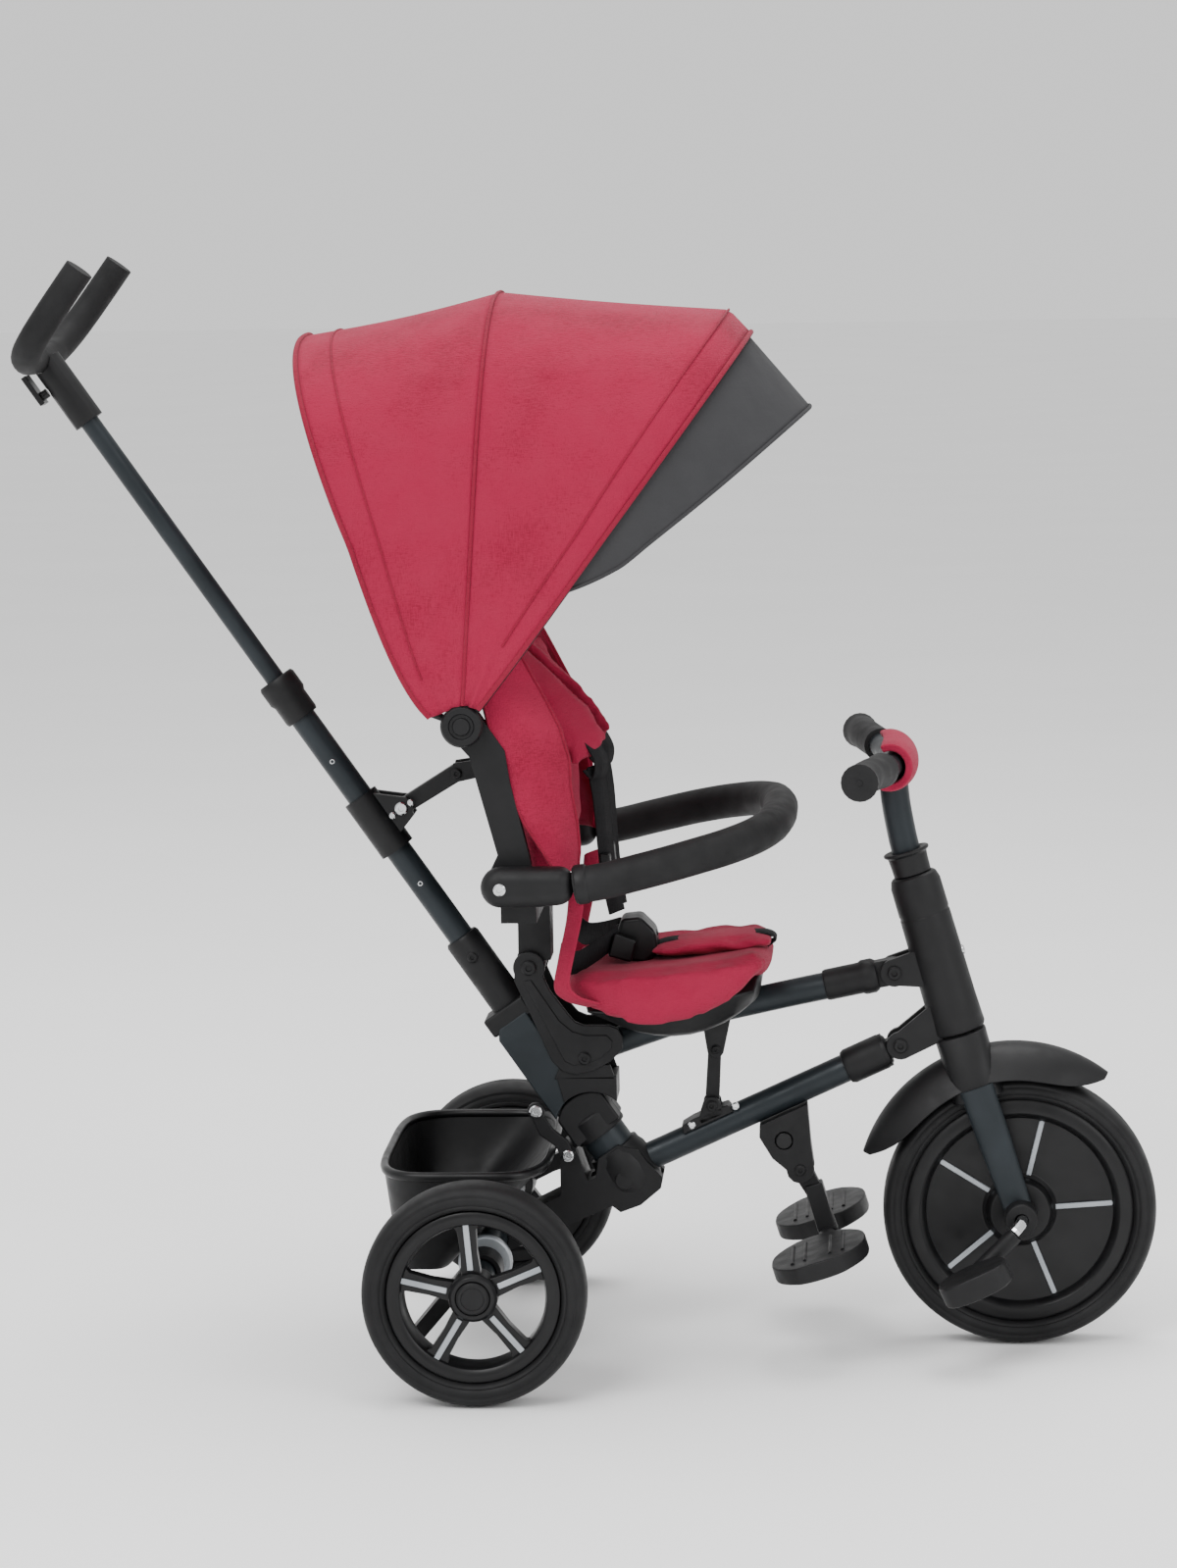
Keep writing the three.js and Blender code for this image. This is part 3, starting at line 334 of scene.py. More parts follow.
def refined(node, material, bevel=1.2, angle=32):
    """A copy of a machined or moulded frame piece, with its edges rounded."""
    bm = bmesh.new()
    bm.from_mesh(frame["nodes"][node].data)
    bmesh.ops.remove_doubles(bm, verts=bm.verts, dist=1e-5)
    bmesh.ops.dissolve_limit(bm, angle_limit=math.radians(0.5), verts=bm.verts, edges=bm.edges)
    return piece(f"{node}_finish", bm, BODY_OF[node], material, [node], bevel, angle)


def plump(thing, cap, pressure=4.0, voxel=5.0, last=20):
    """Blows a padded piece up a little as cloth, so it crowns and creases between its edges."""
    scene = bpy.context.scene

    def settled():
        scene_graph = bpy.context.evaluated_depsgraph_get()
        return bpy.data.meshes.new_from_object(thing.evaluated_get(scene_graph))

    def wear(mesh):
        old, label = thing.data, thing.data.name
        thing.modifiers.clear()
        thing.data = mesh
        bpy.data.meshes.remove(old)
        mesh.name = label

    skin = thing.modifiers.new("skin", "REMESH")
    skin.mode = "VOXEL"
    skin.voxel_size = voxel * MM
    wear(settled())
    before = [vert.co.copy() for vert in thing.data.vertices]
    cloth = thing.modifiers.new("cloth", "CLOTH")
    cloth.settings.use_pressure = True
    cloth.settings.uniform_pressure_force = pressure
    cloth.settings.effector_weights.gravity = 0
    cloth.point_cache.frame_start, cloth.point_cache.frame_end = 1, last
    for number in range(1, last + 1):
        scene.frame_set(number)
    swollen = settled()
    for vert, start in zip(swollen.vertices, before):
        move = vert.co - start
        if move.length > cap * MM:
            vert.co = start + move.normalized() * cap * MM
    wear(swollen)
    scene.frame_set(1)
    swollen.polygons.foreach_set("use_smooth", [True] * len(swollen.polygons))
    soft = thing.modifiers.new("smooth", "SUBSURF")
    soft.levels = soft.render_levels = 1


def screw(name, centre, side, body, radius=5.5, material=MATTE, axis=None):
    """A socket screw head that faces side, or along axis."""
    hollow = radius * 0.45
    profile = [(0, 0), (radius, 0), (radius, 2.2), (radius - 1.2, 3.2), (hollow, 3.2), (hollow * 0.9, 1.4),
               (0, 1.4)]
    bm = turned(bmesh.new(), profile, centre, axis or ACROSS * side, 20)
    return piece(name, bm, body, material, angle=30)


# ---- wheels
def wheel_of(tyre):
    """A wheel's hub, and its radius in millimetres."""
    low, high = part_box(tyre)
    return (low + high) / 2, (high.z - low.z) / 2 / MM


def tyre_section(rim, radius, width):
    """A rounded tread with two shallow grooves in each wall."""
    depth, breadth, steps = 1.5, 1.1, 64
    middle, tall, wide = (rim + radius) / 2, (radius - rim) / 2, width / 2
    points = []
    for i in range(steps):
        a = 2 * math.pi * i / steps
        s, c = math.sin(a), math.cos(a)
        r = middle + tall * math.copysign(abs(s) ** 0.7, s)
        groove = sum(depth * math.exp(-(((r - rim - share * 2 * tall) / breadth) ** 2)) for share in (0.3, 0.62))
        points.append((r, math.copysign(wide * abs(c) ** 0.6 - groove * abs(c), c)))
    return points + points[:1]


def spokes(bm, hub, facing, outline, first, level, depth):
    """Five bars round a hub, each an outline of (radius, width) points, the first at an angle in degrees."""
    for i in range(5):
        a = math.radians(first + i * 72)
        along, across = Vector((math.cos(a), 0, math.sin(a))), Vector((-math.sin(a), 0, math.cos(a)))
        face = bm.faces.new([bm.verts.new(hub + along * (r * MM) + across * (w * MM) + facing * (level * MM))
                             for r, w in outline])
        thickened(bm, face, facing * depth * MM)
    return bm


def silver_bars(name, hub, facing, inner, outer, wide, level, first, body):
    half = wide / 2
    outline = [(inner, -half), (outer, -half), (outer + 1, 0), (outer, half), (inner, half)]
    return piece(name, spokes(bmesh.new(), hub, facing, outline, first, level, 2.6), body, SILVER, bevel=0.8)


def rear_wheel(word, side):
    body = f"rear_wheel_{word}"
    hub, radius = wheel_of(f"rear_tyre_{word}")
    facing = ACROSS * side
    bm = turned(bmesh.new(), tyre_section(77, radius, 46), hub, steps=96)
    piece(f"tyre_{word}", bm, body, TREAD, [f"rear_tyre_{word}"])

    bm = bmesh.new()
    turned(bm, [(64, -13), (67, -17), (78, -18), (78, 18), (75, 19.5), (70, 19.5), (66, 17), (64, 12), (64, -13)],
           hub, facing, 96)
    turned(bm, [(6.8, -19), (14, -19), (20, -14), (22, -4), (22, 19), (19, 22.5), (15.5, 22.5), (15.5, 21), (0, 21)],
           hub, facing, 48)
    first_spoke = 95
    outline = [(17, -9), (40, -7.5), (60, -8.5), (66, -13), (66, 13), (60, 8.5), (40, 7.5), (17, 9)]
    spokes(bm, hub, facing, outline, first_spoke, 1, 13)
    piece(f"rim_{word}", bm, body, GLOSS, [f"rear_rim_{word}"], bevel=1.2)
    silver_bars(f"spoke_inlays_{word}", hub, facing, 24, 67, 5.5, 13.4, first_spoke, body)
    cap = turned(bmesh.new(), [(0, 20), (14.6, 20), (14.6, 23.5), (13, 25), (10.5, 25), (10, 24.2), (0, 24.4)],
                 hub, facing, 40)
    piece(f"hub_cap_{word}", cap, body, MATTE)


def front_wheel():
    hub, radius = wheel_of("front_tyre")
    bm = turned(bmesh.new(), tyre_section(104, radius, 50), hub, steps=112)
    piece("tyre_front", bm, "front_wheel", TREAD, ["front_tyre"])
    half = [(106, 18), (101, 21), (93, 21), (89, 18), (87, 12), (60, 9.5), (35, 11), (31, 15), (30, 22), (27, 25.5),
            (16, 25.5), (7, 25)]
    profile = half + [(r, -h) for r, h in reversed(half)] + half[:1]
    piece("rim_front", turned(bmesh.new(), profile, hub, steps=112), "front_wheel", GLOSS, ["front_rim"], bevel=0.8)
    for word, side in SIDES:
        silver_bars(f"disc_inlays_{word}", hub, ACROSS * side, 33, 86, 5, 10.2, 4, "front_wheel")


for word, side in SIDES:
    rear_wheel(word, side)
front_wheel()

# ---- rear axle, basket and brake
def axle():
    low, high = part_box("axle_beam")
    centre = (low + high) / 2
    end = (high.y - low.y) / 2 / MM
    profile = [(6.6, -end), (12, -end), (13.5, -end + 4), (13.5, end - 4), (12, end), (6.6, end), (6.6, -end)]
    piece("axle_tube", turned(bmesh.new(), profile, centre, steps=32), "main_frame", TUBE, ["axle_beam"])
    rings = bmesh.new()
    for y in (-110, 110):
        profile = [(14, y - 5), (23, y - 5), (25, y - 3), (25, y + 3), (23, y + 5), (14, y + 5), (14, y - 5)]
        turned(rings, profile, centre, steps=40)
    piece("axle_collars", rings, "main_frame", SILVER, bevel=0.6)
    frame["nodes"]["rear_axle"].material_slots[0].material = STEEL


def basket():
    low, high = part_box("basket")
    (x0, floor), (x1, rim), half = flat(low), flat(high), high.y / MM
    foot_front, foot_half, squareness = -32, 112, 4.6

    def section(turn, t, grow=0.0, inward=1.0):
        """A point round the tub at level t, from floor to rim; inward below 1 lies on the floor."""
        a0, a1 = x0 + 13 * (1 - t) - grow, foot_front + (x1 - foot_front) * t + grow
        wide = foot_half + (half - foot_half) * t + 4 * math.sin(math.pi * t) + grow
        c, s = math.cos(turn), math.sin(turn)
        r = inward / (abs(c) ** squareness + abs(s) ** squareness) ** (1 / squareness)
        return at(0.5 * (a0 + a1) + r * c * (a1 - a0) / 2, floor + (rim - floor) * t, r * s * wide)

    def tub(u, v):
        if v < -0.5:
            return section(u * math.pi, 0.0, inward=min(2.0 * (v + 1), 1.0) ** 0.5)
        return section(u * math.pi, (v + 0.5) / 1.5)

    def lip(u, v):
        a = v * math.pi
        return section(u * math.pi, 1.0, -1.5 + 4 * math.cos(a)) + Vector((0, 0, (4.5 * math.sin(a) - 3) * MM))

    piece("basket_tub", sheet_of(96, 24, tub), "main_frame", MATTE, ["basket"], thickness=3, angle=50)
    piece("basket_rim", sheet_of(96, 12, lip), "main_frame", GLOSS, angle=60)


axle()
basket()
refined("brake_pedal", MATTE, 2.0)

# ---- column, elbow and lower tube
COLUMN_FOOT = (125, 166)
BACK, RISE = 0.57, 0.822
PUSH_WAY = Vector((-BACK, 0, RISE)).normalized()


def on_push(s, y=0.0, side=0.0):
    """A place s millimetres up the axis that the column and the push handle share."""
    return at(COLUMN_FOOT[0] - BACK * s - RISE * side, COLUMN_FOOT[1] + RISE * s - BACK * side, y)


def push_profile(name, profile, body, material, replaced=(), bevel=0.6, steps=48):
    origin = on_push(0)
    return piece(name, turned(bmesh.new(), profile, origin, PUSH_WAY, steps), body, material, replaced, bevel)


refined("elbow_housing", MATTE, 2.5, 28)
refined("elbow_button", GLOSS, 1.0)
push_profile("column", [(0, 12), (21.5, 12), (21.5, 50), (0, 50)], "main_frame", TUBE, ["column_tube"])
push_profile("column_band", [(21.6, 40), (24.5, 40), (25.5, 42), (25.5, 60), (24, 62), (0, 62)], "main_frame", MATTE)
push_profile("elbow_shell", [(0, -31), (12, -31), (22, -26), (27.5, -14), (28.5, 0), (27.5, 12), (25.5, 17), (25, 22),
                             (0, 22)], "main_frame", MATTE, bevel=0.8)


def fold_knuckle():
    """The rounded top of the column, and the leg above it that turns about the same pin."""
    half, pin = 25, 50.5

    def ring_of(r, steps=14):
        limit = math.asin(half / r)
        turns = [-limit + 2 * limit * i / (steps - 1) for i in range(steps)]
        return [(pin + r * math.cos(a), r * math.sin(a)) for a in turns]

    def in_line(points):
        return [flat(on_push(s, 0, side)) for s, side in points]

    knuckle = slab(bmesh.new(), in_line([*ring_of(34.6), (44, half), (44, -half)]), -22.5, 22.5)
    piece("column_knuckle", knuckle, "main_frame", MATTE, bevel=2.5, segments=3)
    lower = [p for p in ring_of(35.8) if p[1] > -15]
    leg = slab(bmesh.new(), in_line([*lower, (168, half), (177, 19), (177, -12), (140, -12)]), -24, 24)
    piece("post_leg", leg, "post_frame", TUBE, bevel=4, segments=3)
    arms = bmesh.new()
    outline = [*arc(*RECLINE_PIN, 15, 205, -30, 14), (57, 339), (74, 316), (80, 309), (88, 305.6), (112, 305.5),
               (120, 302.5), (124.5, 295), (124, 283), (113, 271.5), (97, 262.5), (80, 259), (68, 262), (58, 272),
               (40, 313), (24, 348)]
    panel = [(40, 349), (66, 310), (78, 300), (90, 296.5), (110, 296.5), (115, 291), (114, 284), (104, 275), (92, 270),
             (78, 268), (70, 272), (52, 308), (33, 347)]
    core = [*arc(*FOLD_PIN, 35.9, 48, 135, 12), (62, 256), (118, 257)]
    for side in (-1, 1):
        slab(arms, outline, side * 22.3, side * 29)
        slab(arms, panel, side * 28.6, side * 30.4)
        slab(arms, [(60, 254), (117, 254), (112, 268), (66, 268)], side * 21.6, side * 26)
    slab(arms, core, -26, 26)
    piece("bracket_arms", arms, "post_frame", MATTE, ["seat_bracket"], bevel=1.6, segments=3, angle=32)
    push_profile("socket_sleeve", [(12.6, 188), (17, 188), (17, 264), (15.5, 267), (12.6, 267), (12.6, 188)],
                 "post_frame", MATTE, bevel=0.6)
    flange = slab(bmesh.new(), in_line([(172, 27), (191, 27), (191, -17), (172, -17)]), -23, 23)
    piece("socket_flange", flange, "post_frame", MATTE, bevel=2.5, segments=3)
    screw("socket_screw", on_push(246, -16.2), -1, "post_frame", 5)


fold_knuckle()
refined("fold_latch", MATTE, 1.0)

LOWER_START, LOWER_END = at(120, 163), at(*LOWER_FRONT_PIN)
LOWER_WAY = (LOWER_END - LOWER_START).normalized()


def on_lower(d, up=0.0, y=0.0):
    """A place d millimetres along the lower tube, up from its axis and to the left."""
    lifted = Vector((-LOWER_WAY.z, 0, LOWER_WAY.x)) * (up * MM)
    return LOWER_START + LOWER_WAY * (d * MM) + lifted + ACROSS * (y * MM)


def lower_tube():
    length = (LOWER_END - LOWER_START).length / MM
    profile = [(0, 12), (11, 12), (13.2, 15), (13.2, length - 30), (0, length - 30)]
    bm = turned(bmesh.new(), profile, LOWER_START, LOWER_WAY, 40)
    piece("lower_frame_tube", bm, "main_frame", TUBE, ["lower_tube"], bevel=0.5)
    saddle = bmesh.new()
    foot = 94.5
    pad = [(-26, 8), (26, 8), (24, 16), (12, 17.5), (-12, 17.5), (-24, 16)]
    slab(saddle, [flat(on_lower(foot + d, up)) for d, up in pad], -13.6, 13.6)
    for side in (-1, 1):
        slab(saddle, [(196, 208), (218, 218), *arc(*LINK_FOOT_PIN, 8.5, 0, 180, 9), (193, 212)], side * 9, side * 13.6)
    piece("link_saddle", saddle, "main_frame", MATTE, bevel=1.2)
    screw("link_screw", at(*LINK_FOOT_PIN, -13.4), -1, "main_frame", 5)
    for x, z in ((187, 208), (228, 226)):
        screw(f"saddle_screw_{x}", at(x, z, -12.6), -1, "main_frame", 3.6, STEEL)

    sleeve = bmesh.new()
    turned(sleeve, [(0, length - 56), (15, length - 56), (16.8, length - 52), (16.8, length - 18), (13, length - 12),
                    (0, length - 12)], LOWER_START, LOWER_WAY, 32)
    piece("lower_tube_sleeve", sleeve, "main_frame", MATTE, bevel=1.0)
    refined("lower_sleeve", MATTE, 1.0)


lower_tube()
refined("seat_link", MATTE, 1.4)
lug = bmesh.new()
for side in (-1, 1):
    slab(lug, [(197, 312), *arc(*LINK_TOP_PIN, 8, 180, 360, 9), (226, 316)], side * 8.2, side * 11.2)
piece("link_lug", lug, "seat_frame", MATTE, bevel=1.0)
screw("link_top_screw", at(*LINK_TOP_PIN, -11), -1, "seat_frame", 4.2)

# ---- footrest
def footrest():
    refined("footrest_housing", MATTE, 4.0, 25)
    refined("footrest_button", GLOSS, 1.2)
    leg = bmesh.new()
    slab(leg, [*arc(*FOOTREST_PIN, 11.5, 60, 250, 14), (293, 140), (305, 102), (323, 106), (309, 144)], -7.5, 7.5)
    slab(leg, [(292, 148), (304, 104), (321, 108), (308, 152)], -10, 10)
    piece("footrest_blade", leg, "footrest", MATTE, ["footrest_leg"], bevel=1.6)
    cross = turned(bmesh.new(), [(0, -92), (8.5, -92), (8.5, 92), (0, 92)], at(313, 101), ACROSS, 24)
    piece("footrest_axle", cross, "footrest", MATTE, bevel=1)
    screw("footrest_screw", at(*FOOTREST_PIN, -14.8), -1, "main_frame", 5)
    for word, side in SIDES:
        centre = centre_of(f"foot_plate_{word}")
        tilt = Matrix.Rotation(-0.3, 3, "Y")

        def pad(u, v, w, side=side, centre=centre, tilt=tilt):
            length = 45 * (1 - 0.42 * abs(v) ** 2.6)
            crown = 8.5 * (1 - 0.12 * u * u)
            across = v * 56 * (1 - 0.08 * u ** 4) * MM
            return centre + tilt @ Vector((u * length * (1 - 0.1 * v ** 4) * MM, across, w * crown * MM))

        bm = block_of(9, pad)
        piece(f"foot_rest_{word}", bm, "footrest", MATTE, [f"foot_plate_{word}"], bevel=2.0, angle=40)
        ribs = bmesh.new()
        for step in (-24, -12, 12, 24):
            start, end = (centre + tilt @ Vector((step * MM, y * MM, 8.2 * MM)) for y in (-34, 34))
            part = tube_through([start, (start + end) / 2, end], 1.7, 3, fine=3)
            spare = bpy.data.meshes.new("rib")
            part.to_mesh(spare)
            part.free()
            ribs.from_mesh(spare)
            bpy.data.meshes.remove(spare)
        piece(f"foot_ribs_{word}", ribs, "footrest", MATTE)


footrest()

# ---- push handle
push_profile("push_tube", [(10.4, 126), (12.3, 126), (12.3, 556), (10.4, 556), (10.4, 126)], "post_frame", TUBE,
             ["push_tube_lower"])
push_profile("push_collar_ring", [(12.6, 519), (15.5, 519), (16.5, 522), (16.5, 540), (18.5, 544), (18.5, 560),
                                  (17, 563), (12.6, 563), (12.6, 519)], "post_frame", MATTE, ["push_collar"])
push_profile("inner_tube", [(0, 442), (9, 442), (9, 868), (0, 868)], "push_handle", TUBE, ["push_tube_upper"])
refined("handle_socket", MATTE, 0.8)
for s in (330, 470):
    screw(f"tube_pin_{s}", on_push(s, -9.1), -1, "post_frame", 3.4, STEEL)


def handle():
    tip, base = at(-349, 1012), at(-410, 928)
    half = [(1, 109), (0.72, 108.5), (0.45, 106), (0.24, 98), (0.09, 82), (0.02, 60), (0, 32)]
    path = [tip * t + base * (1 - t) + ACROSS * (y * MM) for t, y in half]
    path += [base.copy()] + [Vector((p.x, -p.y, p.z)) for p in reversed(path)]
    bm = tube_through(path, 13.5, 8, fine=8)
    piece("handle_loop", bm, "push_handle", FOAM, ["handle_grip"], bevel=5, segments=4, angle=60)
    refined("handle_release", GLOSS, 1.2)


handle()

# ---- recline clamp and link
refined("recline_clamp", MATTE, 1.6, 28)
bar = slab(bmesh.new(), [*arc(*CLAMP_PIN, 8, 140, 280, 8), *arc(*LUG_PIN, 8.3, -40, 130, 8)], -8, 8)
piece("link_bar", bar, "link", MATTE, ["recline_link"], bevel=1.5)
for name, pin, y, body, radius, material in (
        ("clamp_screw", CLAMP_PIN, -15, "clamp", 6, STEEL), ("clamp_bolt_front", (-70, 514), -15, "clamp", 3.2, STEEL),
        ("clamp_bolt_rear", (-87, 502), -15, "clamp", 3.2, STEEL), ("lug_screw", LUG_PIN, -14.5, "backrest", 5, MATTE),
        ("recline_screw", RECLINE_PIN, -29, "post_frame", 7, MATTE),
        ("upper_rear_screw", UPPER_REAR_PIN, -30, "post_frame", 6, MATTE),
        ("latch_screw_top", (42.5, 225), -32, "fold_latch", 6, STEEL),
        ("latch_screw_foot", (72, 183), -32, "fold_latch", 5.5, STEEL)):
    screw(name, at(*pin, y), -1, body, radius, material)

# ---- backrest
def back_x(z):
    """Where the leaning backrest lies at a height."""
    return 72 - (z - 457) * 0.227


def back_shell():
    refined("back_frame", MATTE, 2.0, 28)
    for word, side in SIDES:
        hub = at(*HUB, side * 171.5)
        profile = [(0, -3), (16, -3), (19, 0), (19, 5), (17, 8), (11.8, 8), (10.8, 6.4), (8.2, 6.4), (7.4, 8.8),
                   (0, 9.4)]
        piece(f"canopy_knob_{word}", turned(bmesh.new(), profile, hub, ACROSS * side, 48), "backrest", MATTE,
              bevel=0.5)


def welt(name, points, radius, body, material=BINDING):
    return piece(name, tube_through(points, radius, 3, fine=6), body, material)


def back_cushion():
    wide = 140

    def rear(z):
        return back_x(z) - 23

    def front(z, v):
        wing = 42 - 22 * max(0, min(1, (530 - z) / 70))
        return back_x(z) - 3 + wing * abs(v) ** 3.2

    def shape(u, v, w):
        z = 461 + (w + 1) / 2 * 196
        pinch = 1 - 0.10 * max(0, w) ** 2
        soft = 1 - 0.42 * max(abs(v) ** 9, abs(w) ** 12)
        middle, depth = (front(z, v) + rear(z)) / 2, (front(z, v) - rear(z)) / 2
        dimple = 2.5 * math.exp(-((w * 98 - 10) / 5) ** 2) if u > 0 else 0
        return at(middle + u * depth * soft - dimple, z + 8 * (1 - v * v) * max(0, w), v * wide * pinch)

    bm = block_of(15, shape)
    thing = piece("back_pad", bm, "backrest", CRIMSON, ["seat_back_cushion"], smooth=1)
    plump(thing, 5)
    for word, side in SIDES:
        level = (662, 632, 597, 567, 544, 512, 487, 468)
        rear_edge = (0, 10, 17, 26, 33, 47, 63, 74)
        front_edge = (44, 60, 78, 86, 87, 92, 94, 92)

        def wing(u, v, side=side):
            k = (1 - v) / 2 * (len(level) - 1)
            i = min(int(k), len(level) - 2)
            f = k - i
            f = f * f * (3 - 2 * f) * 0.3 + f * 0.7
            x0 = rear_edge[i] + (rear_edge[i + 1] - rear_edge[i]) * f
            x1 = front_edge[i] + (front_edge[i + 1] - front_edge[i]) * f
            z = level[i] + (level[i + 1] - level[i]) * f
            w = (u + 1) / 2
            drawn = 158.5 - 26 * w ** 2.2 + 1.2 * math.sin(z * 0.11 + 5 * w)
            return at(x0 + (x1 - x0) * w, z, side * drawn)

        thing = piece(f"back_wing_{word}", sheet_of(18, 44, wing), "backrest", CRIMSON, thickness=3,
                      smooth=1)
        welt(f"wing_edge_{word}", [wing(-1, 1 - i / 12) for i in range(25)], 1.5, "backrest")
        welt(f"wing_front_{word}", [wing(1, 1 - i / 12) for i in range(25)], 1.5, "backrest")


def harness():
    for word, side in SIDES:
        def pad(u, v, w, side=side):
            t = (w + 1) / 2
            swell = 6.5 * (1 - 0.45 * abs(v) ** 3) * (1 - 0.3 * abs(w) ** 6)
            seam = 1.4 * math.exp(-((abs(v) - 0.82) / 0.07) ** 2)
            twist = math.radians(20 + 28 * (1 - t))
            over = side * v * 27 * (1 - 0.08 * w ** 6)
            outward, inward = over * math.cos(twist), -over * math.sin(twist)
            x = 101 - 78 * t + 8 * math.sin(math.pi * t) + 0.8 * math.sin(19 * t + 2 * v)
            z = 562 + 96 * t
            lift = u * (swell - seam)
            return at(x + lift * 0.78 + inward * 0.78, z + lift * 0.6 + inward * 0.6,
                      side * 50 + side * outward + side * lift * math.sin(twist) * 0.5)

        thing = piece(f"shoulder_cover_{word}", block_of(11, pad), "backrest", CRIMSON,
                      [f"shoulder_pad_{word}"], smooth=1)
        plump(thing, 3)
        y = side * 48
        loop = [at(88, 585, y), at(100, 575, y), at(110, 556, y), at(107, 540, y), at(98, 548, y)]
        piece(f"shoulder_loop_{word}", ribbon(loop, (0.45, 1, 0), 26), "backrest", WEBBING, thickness=1.6)
        drop = [at(104, 552, y * 0.98), at(109, 520, y * 0.92), at(112, 480, y * 0.8), at(115, 446, y * 0.66),
                at(121, 411, y * 0.42)]
        piece(f"shoulder_strap_{word}", ribbon(drop, (0.6, 1, 0.1), 24), "backrest", WEBBING, thickness=1.6)
        slide = bmesh.new()
        slab(slide, [(106, 470), (116, 469), (118, 446), (108, 447)], y * 0.72 - 15, y * 0.72 + 15)
        piece(f"strap_slide_{word}", slide, "backrest", GLOSS, bevel=2.0)
        lap = [at(72, 384, side * 96), at(84, 374, side * 84), at(100, 378, side * 58), at(120, 388, side * 24)]
        piece(f"lap_strap_{word}", ribbon(lap, (0.2, 0, 1), 22), "seat_frame", WEBBING, thickness=1.6)
        hook = bmesh.new()
        slab(hook, [(112, 372), (134, 366), (139, 386), (118, 393)], side * 20, side * 38)
        piece(f"buckle_wing_{word}", hook, "seat_frame", GLOSS, bevel=2.2)

    body = bmesh.new()
    slab(body, [(116, 380), (124, 366), (146, 362), (158, 372), (156, 392), (142, 406), (124, 404)], -21, 21)
    piece("buckle_shell", body, "seat_frame", GLOSS, ["harness_buckle"], bevel=4.0, segments=3, angle=25)
    knob = turned(bmesh.new(), [(0, 0), (11, 0), (11, 3), (9.5, 4.5), (0, 5)], at(148, 392), (0.7, 0, 0.7), 32)
    piece("buckle_press", knob, "seat_frame", MATTE, bevel=0.8)
    crotch = [at(150, 376), at(166, 382), at(196, 385), at(240, 389), at(260, 389), at(268, 383), at(260, 376)]
    piece("crotch_strap", ribbon(crotch, (0, 1, 0), 25), "seat_frame", WEBBING, thickness=1.6)


back_shell()
back_cushion()
harness()

# ---- canopy
# The ribs from the rear forwards: the angle and length of each, and how far the pulled cloth carries it.
RIB_ANGLES = (113.8, 86, 53)
RIB_REACH = (372, 378, 423)
RIB_DROOP = (31, 0, -4)
COVER_HALF = 175
FOOT = 0.95  # how far down its bow the cloth reaches


def bow_point(angle, reach, half, t, grow=0.0):
    """A point on a bow: t runs from -1 at the right hub, over the top, to 1 at the left."""
    a = math.radians(angle)
    wide, r = half + grow, reach * 0.5 * (1 - abs(t)) / 0.5
    if abs(t) < 0.5:
        q = (1 - abs(t) / 0.5) * math.pi / 2
        wide *= math.cos(q) ** (2 / 2.6)
        r = reach * 0.5 + (reach * 0.5 + grow) * math.sin(q) ** (2 / 2.6)
    return at(HUB[0] + r * math.cos(a), HUB[1] + r * math.sin(a), math.copysign(wide, t))


def rib_point(rib, t, grow=0.0):
    """A point on a rib's line, which the pulled cloth carries away from the straight bow."""
    a = math.radians(RIB_ANGLES[rib] + 90)
    push = RIB_DROOP[rib] * math.sin(math.pi * max(1 - abs(t), 0) ** 0.45) * MM
    bow = bow_point(RIB_ANGLES[rib], RIB_REACH[rib], COVER_HALF, t, grow)
    return bow + Vector((math.cos(a), 0, math.sin(a))) * push


def cover_point(first, k, t, grow=0.0):
    """A point on the cloth between rib first and the next, k from 0 to 1."""
    a, b = rib_point(first, t, grow), rib_point(first + 1, t, grow)
    middle = a.lerp(b, k)
    hollow = math.sin(math.pi * k) * (1 - abs(t)) * 3
    if first:  # the front cover stands up over its stitched line
        crest = 0.87
        hollow -= 20 * min(k / crest, (1 - k) / 0.13) * max(0, 1 - (t / 0.62) ** 2)
    centre = at(*HUB)
    inward = (Vector((centre.x, 0, centre.z)) - Vector((middle.x, middle.y * 0.6, middle.z))).normalized()
    ripple = 1.3 * math.sin(19 * t + 5 * k) * abs(t) ** 2 + 1.5 * math.sin(15 * k + 3 * t) * abs(t) ** 5
    return middle + inward * ((hollow + ripple * math.sin(math.pi * k)) * MM)


def cloth_panel(name, first, replaced):
    def shape(u, v):
        t = math.copysign(max(abs(v) * FOOT, 1e-5), v if v else 1)
        return cover_point(first, (u + 1) / 2, t, 2.2)

    thing = piece(name, sheet_of(28, 120, shape), None, CRIMSON, replaced, thickness=1.2)
    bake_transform(thing)


